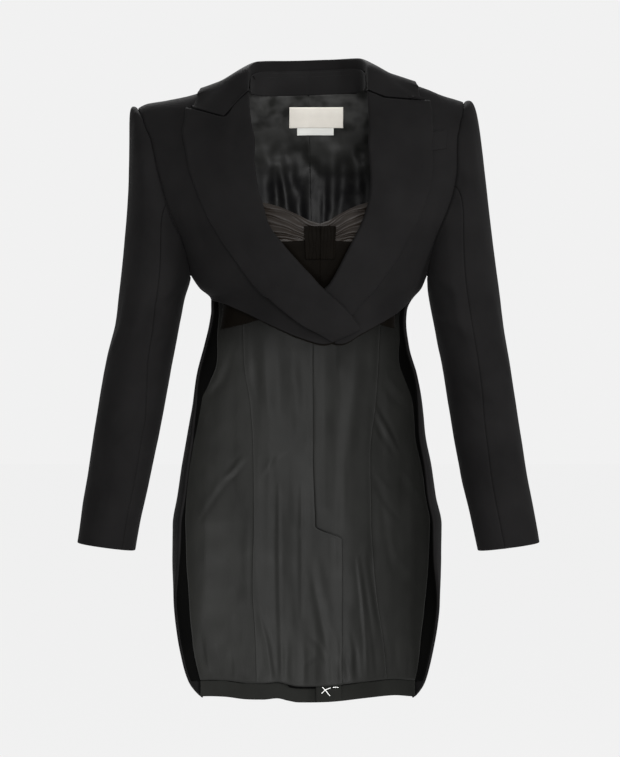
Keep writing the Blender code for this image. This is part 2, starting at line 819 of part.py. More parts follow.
def clear_of_form(p, lift):
    """Push a collar point up or out to lie on the panels below it."""
    ridge = shoulder_z(p.x)
    face = "front" if p.y < 0 else "back"
    z = min(p.z, ridge - 0.5)
    a = to_angle(face, p.x, z)
    depth = abs(form_point(face, a, z).y) / max(0.05, shoulder_roll(p.x, z))
    r = min(1.0, abs(p.y) / depth)
    top = ridge - SHOULDER_ROUND * (1 - math.sqrt(1 - r * r)) + lift
    if p.z >= top:
        return p
    up = Vector((p.x, p.y, top))
    if p.z > ridge - 0.5:
        return up
    out = lifted(face, a, z, lift)
    inside = (p - form_point(face, a, z)).dot(form_normal(face, a, z)) < lift
    if not inside:
        return p
    return up if (up - p).length < (out - p).length else out


STATIONS = [-4.0, -3.7, -3.4, -3.1, -2.75, -2.4, -2.05, -1.7, -1.3, -0.8, 0.0]
STATIONS += [-s for s in reversed(STATIONS[:-1])]
FALL = (0.0, 0.3, 0.62, 0.88, 1.0)
GORGE = {-1: ((-152, -20), (-131, -27), (-110, -33.5), (-95, -15.5), (-79, 1.5)),
         1: ((154, -9), (128, -8.5), (102, -7), (90, -2.5), (79, 3))}


def fall_point(s, f):
    roll, edge, foot = collar_station(s)
    out = (edge - roll)
    lift = Vector((roll.x * 0.8, (roll.y - 15) * 0.9, 0.0))
    lift = lift.normalized() if lift.length > 1e-6 else Vector((0, 1, 0))
    ridge_ctrl = roll + lift * 9.0 + Vector((0, 0, 3.0))
    p = edge * (1 - f) ** 2 + ridge_ctrl * 2 * f * (1 - f) + roll * f * f
    return clear_of_form(p, 5.4)


fall = []
for s in STATIONS:
    column = []
    side = 1 if s > 0 else -1
    near = ease((abs(s) - 3.3) / 0.7)
    for k, f in enumerate(FALL):
        p = fall_point(s, f)
        if near > 0:
            gx, gz = GORGE[side][k]
            g = lifted("front", to_angle("front", gx, gz), gz, 5.4)
            p = p.lerp(g, near)
        column.append(p)
    fall.append(column)


def away_from_neck(p):
    return Vector((p.x, p.y - 10, 30)).normalized()


shell("collar_fall", fall, SHELL_WALL, "shell", away_from_neck, pull=0.8)

stand = []
for s in STATIONS[1:-1]:
    roll, edge, foot = collar_station(s)
    inward = Vector((-roll.x, 10 - roll.y, 0.0)).normalized()
    column = []
    for f in (0.0, 0.45, 1.0):
        p = roll.lerp(foot, f) + inward * (3.6 + 3.6 * f) + Vector((0, 0, -2.6 * (1 - f)))
        column.append(p)
    stand.append(column)
shell("collar_stand", stand, SHELL_WALL, "shell",
      lambda p: Vector((p.x, p.y - 10, 0)).normalized(), pull=0.0)

# Bare label and size tab, on the back lining below the neck.
for name, x0, x1, z0, z1, proud in (("neck_label", -26, 48, -4, -33, 1.6),
                                    ("size_tab", -15, 35, -34, -44, 1.6)):
    grid = []
    for i in range(4):
        x = x0 + (x1 - x0) * i / 3
        grid.append([lifted("back", to_angle("back", x, z), z,
                            -(LINING_DROP + LINING_WALL + proud))
                     for z in (z0, z1)])
    shell(name, grid, 0.8, "label", away_from_axis, pull=0.0)


# --------------------------------------------------------------- sleeves
LOOPS = {}


def armhole_loop(side, angle):
    """Point of the armhole: 0 at the shoulder, 90 front, 180 underarm."""
    face = "front" if angle >= 0 else "back"
    if (side, face) not in LOOPS:
        edge = Edge(armhole_edge(side, face))
        steps = [(k / 120) ** 2.2 for k in range(121)]
        points = [form_point(face, *edge.at(t)) for t in steps]
        run = [0.0]
        for k in range(1, len(points)):
            run.append(run[-1] + (points[k] - points[k - 1]).length)
        LOOPS[(side, face)] = (points, [r / run[-1] for r in run])
    points, run = LOOPS[(side, face)]
    t = abs(angle) / 180.0
    k = max(i for i in range(len(run) - 1) if run[i] <= t)
    f = (t - run[k]) / max(1e-9, run[k + 1] - run[k])
    return points[k].lerp(points[k + 1], min(1.0, f))


def sleeve_section(table, side, angle, z):
    t = math.radians(angle)
    hw, hd = table.at(z, "half_width"), table.at(z, "half_depth")
    out = math.copysign(abs(math.cos(t)) ** 0.94, math.cos(t)) * hw
    fwd = math.copysign(abs(math.sin(t)) ** 0.94, math.sin(t)) * hd
    x = table.at(z, "x") + out
    y = table.at(z, "y") - fwd
    return Vector((side * x, y, z + out * CUFF_SLOPE))


CAP_ROWS = (0.0, 0.08, 0.18, 0.31, 0.46, 0.64, 0.84)
ARM_ROWS = (0.0, 0.16, 0.33, 0.5, 0.67, 0.84, 1.0)


def sleeve_line(table, side, angle):
    """One lengthwise line of the sleeve, from the armhole to the cuff."""
    loop = armhole_loop(side, angle)
    top = sleeve_section(table, side, angle, -275)
    below = sleeve_section(table, side, angle, -285)
    down = (below - top).normalized()
    t = abs(angle) / 180.0
    outward = Vector((side * 1.0, 0.0, 0.0))
    rise = 34 - 100 * ease(t * 1.3) - 22 * t
    forward = -0.34 * math.sin(math.radians(angle)) * ease(1 - abs(t - 0.45) * 1.6)
    r = math.radians(rise)
    start = Vector((outward.x * math.cos(r), forward, math.sin(r))).normalized()
    span = (top - loop).length
    c0 = loop + start * (22 * (1 - ease(t * 2.2)) + 6 + 0.18 * span * ease(t * 1.6))
    c1 = top - down * (0.56 * span + 0.30 * span * (1 - ease(t * 2.0)))
    first = loop + start * 1.0
    line = []
    for f in CAP_ROWS:
        g = 1 - f
        line.append(first * g ** 3 + c0 * 3 * g * g * f + c1 * 3 * g * f * f + top * f ** 3)
    foot = table.level[0]
    for f in ARM_ROWS:
        line.append(sleeve_section(table, side, angle, -275 + (foot + 275) * f))
    return line


def away_from_sleeve(table, side):
    def outward(p):
        z = max(min(p.z, -275), table.level[0])
        return Vector((p.x - side * table.at(z, "x"), p.y - table.at(z, "y"), 0)).normalized()
    return outward


def sleeve(side, table, tag):
    levels = None
    top, under = [], []
    n_top, n_under = 12, 6
    lines = {}
    for kind, n in (("top", n_top), ("under", n_under)):
        grid = []
        for i in range(n + 1):
            columns = []
            probe = sleeve_line(table, side, 0.0)
            for j in range(len(probe)):
                z = probe[j].z
                seam = table.at(min(z, -275), "front_seam")
                if kind == "top":
                    # the columns crowd together over the sleeve head
                    f = 2.0 * i / n - 1.0
                    end = seam if f > 0 else -SLEEVE_BACK_SEAM
                    angle = math.copysign(end * abs(f) ** 1.3, f)
                else:
                    angle = seam + (360 + SLEEVE_BACK_SEAM - seam) * i / n
                key = round(angle if angle <= 180 else angle - 360, 4)
                if key not in lines:
                    lines[key] = sleeve_line(table, side, key)
                columns.append(lines[key][j])
            grid.append(columns)
        shell("sleeve_%s_%s" % (kind, tag), grid, SHELL_WALL, "shell",
              away_from_sleeve(table, side), pull=0.6)


sleeve(-1, SLEEVE_RIGHT, "right")
sleeve(1, SLEEVE_LEFT, "left")
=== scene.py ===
"""Looks of the cropped tailcoat blazer with its sewn-in bustier.

Every CAD solid is soft, so each is replaced by a finer cloth piece on the same
form. Lengths are millimetres and angles degrees until a mesh is made. On the
front, degrees count from the centre front, on the back from the centre back.
"""

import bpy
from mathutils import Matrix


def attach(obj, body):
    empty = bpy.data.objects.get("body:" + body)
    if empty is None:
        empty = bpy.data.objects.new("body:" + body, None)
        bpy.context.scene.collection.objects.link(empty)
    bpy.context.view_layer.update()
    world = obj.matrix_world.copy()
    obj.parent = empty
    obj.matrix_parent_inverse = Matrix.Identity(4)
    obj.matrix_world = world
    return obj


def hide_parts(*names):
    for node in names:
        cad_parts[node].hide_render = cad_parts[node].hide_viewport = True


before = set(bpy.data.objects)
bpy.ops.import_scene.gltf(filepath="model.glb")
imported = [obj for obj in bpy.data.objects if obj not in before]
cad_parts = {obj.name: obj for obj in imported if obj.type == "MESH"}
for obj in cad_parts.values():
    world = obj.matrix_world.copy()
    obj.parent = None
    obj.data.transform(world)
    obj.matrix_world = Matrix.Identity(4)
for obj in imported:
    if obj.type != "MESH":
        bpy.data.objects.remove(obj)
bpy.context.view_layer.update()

import math

import bpy
import numpy as np

MM = 0.001

# ---------------------------------------------------------------- sizes
SHELL_WALL = 1.3        # self cloth with its interlining
LAPEL_WALL = 2.2        # lapel and collar edges are two layers
LINING_WALL = 0.8
BUST_WALL = 1.2
SQUARE = 0.92
RIDGE = 0.0004
SHOULDER_ROUND = 95.0
WAIST_Z = -270.0
UNDERARM_Z = -240.0
LAPEL_LIFT = 5.2
OVERLAP_LIFT = 7.0
COLLAR_LEAN = 0.03
LINING_DROP = 5.6
FACING_DROP = 4.2
BUST_DROP = 11.0
VENT_TOP_Z = -578.0
VENT_LAP = 38.0
BUST_CENTRE = 16.0
SLEEVE_BACK_SEAM = -128.0
CUFF_SLOPE = 0.135


# -------------------------------------------------------------- helpers
class Curve:
    """Smooth curve through the rows of a table, with no overshoot."""

    def __init__(self, xs, ys):
        self.x, self.y = np.asarray(xs, float), np.asarray(ys, float)
        self.h = np.diff(self.x)
        d = np.diff(self.y) / self.h
        m = np.zeros(len(self.x))
        m[0], m[-1] = d[0], d[-1]
        for i in range(1, len(m) - 1):
            if d[i - 1] * d[i] > 0:
                w0, w1 = 2 * self.h[i] + self.h[i - 1], self.h[i] + 2 * self.h[i - 1]
                m[i] = (w0 + w1) / (w0 / d[i - 1] + w1 / d[i])
        self.m = m

    def __call__(self, x):
        x = np.clip(np.asarray(x, float), self.x[0], self.x[-1])
        k = np.clip(np.searchsorted(self.x, x, side="right") - 1, 0, len(self.h) - 1)
        h, y, m = self.h[k], self.y, self.m
        t = (x - self.x[k]) / h
        return (y[k] * (1 + 2 * t) * (1 - t) ** 2 + m[k] * h * t * (1 - t) ** 2
                + y[k + 1] * t * t * (3 - 2 * t) + m[k + 1] * h * t * t * (t - 1))


class Table:
    """Rows with named columns; the first column is the level."""

    def __init__(self, columns, *rows):
        rows = sorted(rows)
        level = [r[0] for r in rows]
        self.first, self.last = level[0], level[-1]
        self.curves = {c: Curve(level, [r[i] for r in rows])
                       for i, c in enumerate(columns.split()) if i}

    def at(self, level, column):
        return self.curves[column](level)


def ease(t):
    t = np.clip(t, 0.0, 1.0)
    return t * t * (3 - 2 * t)


def unit(v):
    return v / np.maximum(np.linalg.norm(v, axis=-1, keepdims=True), 1e-9)


def hashed(ix, iy, iz, seed):
    h = (ix * 374761393 + iy * 668265263 + iz * 2147483647 + seed * 974634777) & 0xFFFFFFFF
    h = ((h ^ (h >> 13)) * 1274126177) & 0xFFFFFFFF
    h = ((h ^ (h >> 16)) * 2246822519) & 0xFFFFFFFF
    return ((h ^ (h >> 15)) & 0xFFFF) / 32767.5 - 1.0


def noise(p, size, seed):
    """Smooth uneven field from -1 to 1 over points in millimetres."""
    q = np.asarray(p, float) / size + 31.7
    i = np.floor(q).astype(np.int64)
    f = q - i
    f = f * f * f * (f * (6 * f - 15) + 10)
    total = 0.0
    for dx in (0, 1):
        for dy in (0, 1):
            for dz in (0, 1):
                w = ((f[..., 0] if dx else 1 - f[..., 0]) * (f[..., 1] if dy else 1 - f[..., 1])
                     * (f[..., 2] if dz else 1 - f[..., 2]))
                total = total + w * hashed(i[..., 0] + dx, i[..., 1] + dy, i[..., 2] + dz, seed)
    return total


def flat_noise(x, z, size_x, size_z, seed):
    x, z = np.broadcast_arrays(x, z)
    return noise(np.stack([x / size_x, z / size_z, np.full(x.shape, 0.5)], -1), 1.0, seed)


def creases(rows, x, z, shift=0.0):
    """Soft ridges (+) and troughs (-), each along its own few points. Each has
    a height, a half width and a softer swell of the opposite sign beside it."""
    x, z = np.broadcast_arrays(np.asarray(x, float), np.asarray(z, float))
    total = np.zeros(x.shape)
    for height, width, points in rows:
        pts = np.asarray(points, float)
        step = np.diff(pts, axis=0)
        length = np.linalg.norm(step, axis=1)
        run = np.concatenate([[0.0], np.cumsum(length)])
        best = np.full(x.shape, 1e9)
        along = np.zeros(x.shape)
        side = np.zeros(x.shape)
        for k in range(len(step)):
            ex, ez = step[k] / length[k]
            t = np.clip((x - pts[k, 0]) * ex + (z - pts[k, 1]) * ez, 0, length[k])
            dx, dz = x - pts[k, 0] - t * ex, z - pts[k, 1] - t * ez
            d = np.hypot(dx, dz)
            near = d < best
            best = np.where(near, d, best)
            along = np.where(near, (run[k] + t) / run[-1], along)
            side = np.where(near, np.sign(dx * ez - dz * ex), side)
        taper = np.clip(np.sin(np.pi * np.clip(along * 0.92 + 0.04, 0, 1)), 0, 1) ** 0.7
        w = width * (0.65 + 0.35 * taper)
        signed = best * side
        total += height * taper * (np.exp(-(best / w) ** 2)
                                   - 0.45 * np.exp(-((signed - 1.7 * w) / (1.3 * w)) ** 2))
    return total


# ---------------------------------------------- the form, as in the CAD
FORM = Table(
    "z right left front back",
    (40, 300, 290, 52, 74), (0, 300, 290, 64, 82), (-21, 300, 290, 76, 90),
    (-46, 292, 280, 88, 96), (-73, 262, 252, 98, 101), (-109, 236, 235, 110, 106),
    (-138, 221, 220, 119, 108), (-165, 205, 204, 124, 107), (-188, 187, 186, 125, 105),
    (-215, 168, 170, 121, 100), (-240, 155, 158, 115, 94), (-256, 144, 151, 110, 89),
    (-270, 129, 139, 107, 85), (-285, 129, 132, 105, 83), (-300, 131, 131, 104, 83),
    (-331, 138, 134, 103, 87), (-371, 148, 145, 103, 96), (-411, 154, 152, 105, 104),
    (-451, 161, 156, 108, 110), (-491, 168, 164, 111, 114), (-531, 174, 170, 114, 117),
    (-571, 180, 178, 116, 119), (-610, 180, 178, 116, 120), (-660, 178, 177, 116, 120),
    (-723, 176, 176, 116, 119), (-830, 175, 175, 116, 117),
)
SHOULDER = Table(
    "x right left",
    (0, 46, 46), (77, 27, 34), (110, 17, 25), (141, 6, 15), (161, 0, 8), (180, -4, 0),
    (196, -7, -5), (207, -9, -9), (215, -11, -14), (226, -17, -22), (250, -34, -40),
)
ARMHOLE = Table(
    "z front_right front_left back_right back_left",
    (-15, 226, 207, 226, 207), (-30, 219, 203, 220, 205), (-46, 213, 199, 216, 203),
    (-73, 204, 196, 209, 200), (-109, 196, 195, 202, 198), (-138, 188, 189, 195, 192),
    (-165, 179, 179, 184, 183), (-188, 168, 169, 172, 172), (-215, 160, 162, 162, 163),
    (-240, 155, 158, 155, 158),
)
TAIL_EDGE = Table(
    "z edge lining_right lining_left",
    (-270, 0, -13, -10), (-307, 0, -18, -12), (-358, 1, -29, -26), (-385, 6, -23, -21),
    (-402, 11, -15, -17), (-430, 15, -14, -17), (-461, 18, -14, -18), (-507, 19, -13, -16),
    (-560, 20, -19, -18), (-605, 19, -21, -19), (-640, 14, -22, -20), (-665, 6, -23, -21),
    (-690, -2, -24, -23), (-723, -10, -26, -26), (-748, -16, -28, -28), (-765, -20, -30, -30),
    (-786, -26, -34, -34), (-797, -31, -38, -38), (-806, -36, -42, -42),
)
BACK_SEAMS = Table(
    "z princess_right princess_left centre",
    (0, 202, 198, 1), (-109, 202, 198, 3), (-140, 172, 170, 4), (-180, 136, 140, 5),
    (-235, 104, 114, 6), (-300, 91, 101, 7), (-352, 89, 98, 7), (-413, 80, 94, 7),
    (-474, 76, 87, 7), (-567, 75, 88, 10), (-650, 77, 94, 11), (-733, 73, 105, 11),
    (-816, 71, 112, 11),
)
OPENING_RIGHT = ((-77, 24), (-77, 0), (-71, -54), (-69, -94), (-65, -126),
                 (-58, -150), (-50, -176), (-31, -202), (-6, -230), (21, -258),
                 (49, -286), (66, -310))
HEM_RIGHT = ((66, -310), (44, -323), (20, -331), (-12, -322), (-37, -311),
             (-65, -298), (-89, -287), (-110, -278), (-128, -270))
OPENING_LEFT = ((77, 31), (77, 0), (79, -34), (80, -94), (79, -142), (69, -174),
                (49, -213), (29, -250), (12, -270), (-14, -290), (-32, -300))
HEM_LEFT = ((-32, -300), (0, -316), (24, -326), (42, -331), (71, -317),
            (102, -300), (122, -287), (138, -271))
LAPEL_EDGE_RIGHT = ((-160, -21), (-161, -36), (-160, -73), (-152, -110), (-135, -153),
                    (-112, -194), (-87, -227), (-56, -261), (-30, -286), (2, -311),
                    (30, -328))
LAPEL_TOP_RIGHT = ((-77, 0), (-94, -18), (-110, -36), (-130, -30), (-160, -21))
LAPEL_EDGE_LEFT = ((160, -11), (162, -34), (162, -93), (156, -133), (142, -169),
                   (122, -205), (90, -250), (58, -290), (34, -312))
LAPEL_TOP_LEFT = ((77, 0), (90, -6), (102, -11), (130, -12), (160, -11))
LAPEL_ROLL_RIGHT = OPENING_RIGHT[1:]
LAPEL_ROLL_LEFT = OPENING_LEFT[1:9] + ((20, -296),)
WELT = ((112, -60), (181, -49), (181, -74), (112, -85))
COLLAR = Table(
    "station roll_x roll_y roll_z edge_x edge_y edge_z foot_x foot_y foot_z",
    (0.0, 0, 76, 54, 0, 92, -16, 0, 69, 6),
    (1.0, 45, 68, 54, 66, 86, -11, 41, 56, 8),
    (1.7, 66, 44, 52, 112, 56, -2, 57, 37, 16),
    (2.4, 75, 16, 46, 136, 24, 6, 71, 18, 26),
    (2.9, 79, -8, 38, 143, -8, 6, 75, -4, 27),
    (3.4, 80, -28, 22, 147, -34, -6, 77, -22, 12),
    (4.0, 79, -48, 0, 152, -52, -23, 77, -43, -2),
)
STAND_FOOT = Table(
    "station x y z",
    (0.0, 0, 69, 5.5), (1.0, 42, 60, 5.5), (1.7, 60, 46, 5.5), (2.4, 74, 24, 5.5),
    (2.9, 77, 0, 5.5), (3.4, 78, -21, 4.0), (4.0, 77, -43, -2),
)
GORGE = {-1: ((-152, -20), (-131, -27), (-110, -33.5), (-95, -15.5), (-79, 1.5)),
         1: ((154, -9), (128, -8.5), (102, -7), (90, -2.5), (79, 3))}
FALL = (0.0, 0.3, 0.62, 0.88, 1.0)
BUST = Table(
    "x top cup_foot band_top band_foot",
    (0, -174, -197, -281, -303), (10, -170, -197, -281, -303), (22, -161, -198, -281, -302),
    (40, -149, -199, -280, -300), (60, -143, -201, -279, -299), (90, -145, -203, -278, -299),
    (110, -152, -205, -278, -303), (150, -170, -210, -278, -309),
)
SLEEVE_RIGHT = Table(
    "z x y half_width half_depth front_seam",
    (-275, 209, -4, 43, 60, 101), (-311, 215, -3, 42, 59, 103), (-351, 224, -1, 43, 58, 107),
    (-391, 231, 1, 43.5, 56, 114), (-431, 238, 0, 43, 54, 121), (-471, 245.5, -4, 42, 51, 123),
    (-510, 252, -10, 40.5, 48, 124), (-550, 259.5, -18, 39.5, 45, 124),
    (-598, 266.5, -28, 38.5, 42, 124),
)
SLEEVE_LEFT = Table(
    "z x y half_width half_depth front_seam",
    (-275, 209, -4, 46, 60, 88), (-311, 215, -3, 45, 59, 88), (-351, 222.5, -1, 44.5, 58, 89),
    (-391, 229, 1, 44, 56, 90), (-431, 235, 0, 44, 54, 93), (-471, 241.5, -4, 43.5, 51, 95),
    (-510, 248, -10, 43, 48, 97), (-550, 256.5, -18, 42, 45, 99), (-598, 265.5, -28, 41, 42, 99),
)


def by_side(x, table, column_left, column_right, level):
    return np.where(x > 0, table.at(level, column_left), table.at(level, column_right))


def shoulder_z(x):
    return by_side(x, SHOULDER, "left", "right", np.abs(x))


def shoulder_roll(x, z):
    t = np.clip((shoulder_z(x) - z) / SHOULDER_ROUND, 0.0, 1.0)
    return np.sqrt(np.maximum(0.0, 1 - (1 - t) ** 2))


def form_point(face, angle, z):
    angle, z = np.broadcast_arrays(np.asarray(angle, float), np.asarray(z, float))
    a = np.radians(angle)
    x = by_side(angle, FORM, "left", "right", z) * np.sign(angle) * np.abs(np.sin(a)) ** SQUARE
    c = np.cos(a)
    near = (c >= 0) == (face == "front")
    depth = np.where(near, FORM.at(z, "front"), FORM.at(z, "back")) * np.abs(c) ** SQUARE
    y = depth * shoulder_roll(x, z) * np.where(near, -1.0, 1.0)
    return np.stack([x, y, z], -1)


def form_normal(face, angle, z):
    da, dz = 0.6, 0.8
    u = form_point(face, angle + da, z) - form_point(face, angle - da, z)
    v = form_point(face, angle, z + 0.02) - form_point(face, angle, z - dz)
    n = unit(np.cross(u, v))
    return -n if face == "back" else n


def to_angle(face, x, z):
    x = np.asarray(x, float)
    half = by_side(x, FORM, "left", "right", z)
    r = np.minimum(1.0, np.abs(x) / half)
    return np.copysign(np.degrees(np.arcsin(r ** (1 / SQUARE))), x)


class Edge:
    """A seam or edge through a few (angle, z) points, by arc length."""

    def __init__(self, points):
        pts = np.asarray([(float(a), float(z)) for a, z in points])
        step = np.maximum(1e-3, np.hypot(2.4 * np.diff(pts[:, 0]), np.diff(pts[:, 1])))
        s = np.concatenate([[0.0], np.cumsum(step)])
        self.points, self.length = pts, s[-1]
        self.a, self.z = Curve(s / s[-1], pts[:, 0]), Curve(s / s[-1], pts[:, 1])

    def at(self, t):
        return self.a(t), self.z(t)


def edge_xz(face, points):
    return Edge([(to_angle(face, x, z), z) for x, z in points])


def coons(top, bottom, first, last, u, v):
    out = []
    for k in range(2):
        c00, c10 = top.at(0.0)[k], top.at(1.0)[k]
        c01, c11 = bottom.at(0.0)[k], bottom.at(1.0)[k]
        corner = (1 - u) * (1 - v) * c00 + u * (1 - v) * c10 + (1 - u) * v * c01 + u * v * c11
        out.append((1 - v) * top.at(u)[k] + v * bottom.at(u)[k]
                   + (1 - u) * first.at(v)[k] + u * last.at(v)[k] - corner)
    return out


def under_ridge(face, a, z, snap=False):
    z = np.minimum(z, shoulder_z(form_point(face, a, z)[..., 0]) - RIDGE)
    if snap:
        near = np.zeros(z.shape, bool)
        near[:, 0] = (shoulder_z(form_point(face, a, z)[..., 0]) - z)[:, 0] < 4.0
        for _ in range(8):
            z = np.where(near, shoulder_z(form_point(face, a, z)[..., 0]) - RIDGE, z)
    return z


def overlap_lift(x, z):
    return OVERLAP_LIFT * ease((x + 85) / 50) * ease((-222 - z) / 36)


# --------------------------------------------------------- cloth pieces
# What each piece was cut to, its seam and hem turnings included: piece, width
# and length of the cut in mm, and its area in square cm.
PATTERN = {row.split()[0]: [float(v) for v in row.split()[1:]] for row in """
    front_right         273 444  583
    front_left          233 430  522
    lapel_right         130 406  313
    lapel_left          100 363  281
    pocket_welt          76  27   20
    back_right          281 914 1081
    side_back_right     214 769  964
    back_left           264 915 1059
    side_back_left      198 759  839
    vent_underlap        38 237   84
    lining_right        233 864 1035
    lining_side_right   160 733  560
    lining_left         222 848  937
    lining_side_left    164 724  468
    tail_facing_right    82 537  276
    tail_facing_left     77 538  270
    hem_band_right      169  22   36
    hem_band_left       147  22   31
    cup_right           233  67  120
    underbust_right     199  88  155
    bust_band_right     157  33   41
    cup_left            203  67  103
    underbust_left      170  87  128
    bust_band_left      128  37   36
    bust_bridge          43  45   18
    hem_lining_right    245  24   39
    hem_lining_left     216  19   32
    collar_fall         507 121  420
    collar_stand        337  45  115
    neck_label           73  33   24
    size_tab             49  11    5
    sleeve_top_right    409 631 1215
    sleeve_under_right  224 497  474
    sleeve_top_left     391 642 1168
    sleeve_under_left   247 520  563
""".strip().splitlines()}


def surface_normals(p):
    return unit(np.cross(np.gradient(p, axis=0), np.gradient(p, axis=1)))


def spread(place, step, seams=(False, False), way=1, other=9):
    """Parameters from 0 to 1 along one way of a piece, evenly spaced on its
    surface every step mm, with close rows beside a seam."""
    s = 0.5 - 0.5 * np.cos(np.pi * np.linspace(0, 1, 240))
    o = np.linspace(0, 1, other)
    p = place(*(np.meshgrid(o, s, indexing="ij") if way else np.meshgrid(s, o, indexing="ij")))
    run = np.linalg.norm(np.diff(p, axis=way), axis=-1).mean(1 - way)
    run = np.concatenate([[0.0], np.cumsum(run)])
    length = run[-1]
    want = np.linspace(0, length, max(2, round(length / step)) + 1)
    close = [d for d in (0.5, 1.1, 2.0)] if seams[0] else []
    far = [length - d for d in (0.5, 1.1, 2.0)] if seams[1] else []
    for d in close + far:
        want = want[(np.abs(want - d) > 0.9) | (want == 0) | (want == want[-1])]
    want = np.unique(np.concatenate([want, close, far]))
    return np.interp(want, run, s)


def border_distance(p):
    """Distance of each point from the four borders: first, last, top, foot."""
    du = np.linalg.norm(np.diff(p, axis=0), axis=-1)
    dv = np.linalg.norm(np.diff(p, axis=1), axis=-1)
    first = np.concatenate([np.zeros((1, p.shape[1])), np.cumsum(du, 0)])
    top = np.concatenate([np.zeros((p.shape[0], 1)), np.cumsum(dv, 1)], 1)
    return first, first[-1:] - first, top, top[:, -1:] - top


def seam_relief(p, seams):
    """Cloth dips into a sewn seam and swells a little beside it."""
    total = np.zeros(p.shape[:2])
    for d, sewn in zip(border_distance(p), seams):
        if sewn:
            total += -0.9 * np.clip(1 - d / 2.0, 0, 1) ** 2 + 0.22 * np.exp(-((d - 4.5) / 2.6) ** 2)
    return total


def turned(p, n, border, radius, depth=0.0, arc=180.0):
    """Turns a border under: a half round past it, then back inside."""
    swap = border in ("top", "foot")
    back = border in ("last", "foot")
    q, m = (np.swapaxes(p, 0, 1), np.swapaxes(n, 0, 1)) if swap else (p, n)
    q, m = (q[::-1], m[::-1]) if back else (q, m)
    step = q[0] - q[1]
    length = np.linalg.norm(step, axis=-1, keepdims=True)
    out = step / np.maximum(length, 1e-6)
    q = q.copy()
    q[0] = q[0] - out * np.minimum(radius, length * 0.7)
    centre = q[0] - m[0] * radius
    rows = []
    for phi in np.radians(np.linspace(0, arc, 7)[1:]):
        rows.append(centre + radius * (math.sin(phi) * out + math.cos(phi) * m[0]))
    run = np.cumsum(np.linalg.norm(np.diff(q, axis=0), axis=-1).mean(1))
    k = 1
    while depth and k < len(q) - 1 and run[k - 1] <= depth:
        rows.append(q[k] - m[k] * 2 * radius)
        k += 1
    q = np.concatenate([np.stack(rows[::-1]), q])
    q = q[::-1] if back else q
    return np.swapaxes(q, 0, 1) if swap else q


def cloth(name, outer, wall, material, hint, nodes=None):
    """One closed cloth piece: the seen face, the wall behind it and a rounded
    rim. hint gives the seen side; nodes are the CAD solids it stands for."""
    n = surface_normals(outer)
    if (n * hint).sum() < 0:
        n = -n
        flip = True
    else:
        flip = False
    wall = np.broadcast_to(np.asarray(wall, float), outer.shape[:2])[..., None]
    inner = outer - n * wall
    a, b = outer.shape[0], outer.shape[1]
    loop = ([(i, 0) for i in range(a)] + [(a - 1, j) for j in range(1, b)]
            + [(i, b - 1) for i in range(a - 2, -1, -1)] + [(0, j) for j in range(b - 2, 0, -1)])
    li = np.array(loop)
    prev = np.clip(li + np.stack([np.where(li[:, 0] == 0, 1, np.where(li[:, 0] == a - 1, -1, 0)),
                                  np.where(li[:, 1] == 0, 1, np.where(li[:, 1] == b - 1, -1, 0))], 1),
                   0, [a - 1, b - 1])
    edge_o, edge_i = outer[li[:, 0], li[:, 1]], inner[li[:, 0], li[:, 1]]
    out = unit(edge_o - outer[prev[:, 0], prev[:, 1]])
    rim = (edge_o + edge_i) / 2 + out * wall[li[:, 0], li[:, 1]] * 0.38
    verts = np.concatenate([outer.reshape(-1, 3), inner.reshape(-1, 3), rim]) * MM
    idx = np.arange(a * b).reshape(a, b)
    q = np.stack([idx[:-1, :-1], idx[1:, :-1], idx[1:, 1:], idx[:-1, 1:]], -1).reshape(-1, 4)
    lo = idx[li[:, 0], li[:, 1]]
    ln = np.roll(lo, -1)
    r = 2 * a * b + np.arange(len(loop))
    rn = np.roll(r, -1)
    rim1 = np.stack([lo, r, rn, ln], -1)
    rim2 = np.stack([r, lo + a * b, ln + a * b, rn], -1)
    faces = np.concatenate([q, (q + a * b)[:, ::-1], rim1, rim2])
    if flip:
        faces = faces[:, ::-1]
    mesh = bpy.data.meshes.new(name)
    mesh.from_pydata(verts.tolist(), [], faces.tolist())
    uu = np.concatenate([np.zeros((1, b)), np.cumsum(np.linalg.norm(np.diff(outer, axis=0), axis=-1), 0)])
    vv = np.concatenate([np.zeros((a, 1)), np.cumsum(np.linalg.norm(np.diff(outer, axis=1), axis=-1), 1)], 1)
    uu = uu - uu[a // 2:a // 2 + 1]
    uv = np.stack([uu, vv], -1).reshape(-1, 2) * MM
    uv = np.concatenate([uv, uv, uv[lo]])
    layer = mesh.uv_layers.new(name="cloth")
    corner = np.empty(len(mesh.loops), np.int32)
    mesh.loops.foreach_get("vertex_index", corner)
    layer.data.foreach_set("uv", uv[corner].astype(np.float32).ravel())
    mesh.polygons.foreach_set("use_smooth", [True] * len(mesh.polygons))
    mesh.materials.append(material)
    mesh.validate()
    obj = bpy.data.objects.new(name + "_cloth", mesh)
    bpy.context.scene.collection.objects.link(obj)
    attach(obj, "root")
    if nodes:
        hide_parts(*nodes)
    return obj


# ------------------------------------------------------------ materials
def node_of(tree, kind, **inputs):
    n = tree.nodes.new(kind)
    for key, value in inputs.items():
        n.inputs[key.replace("_", " ")].default_value = value
    return n


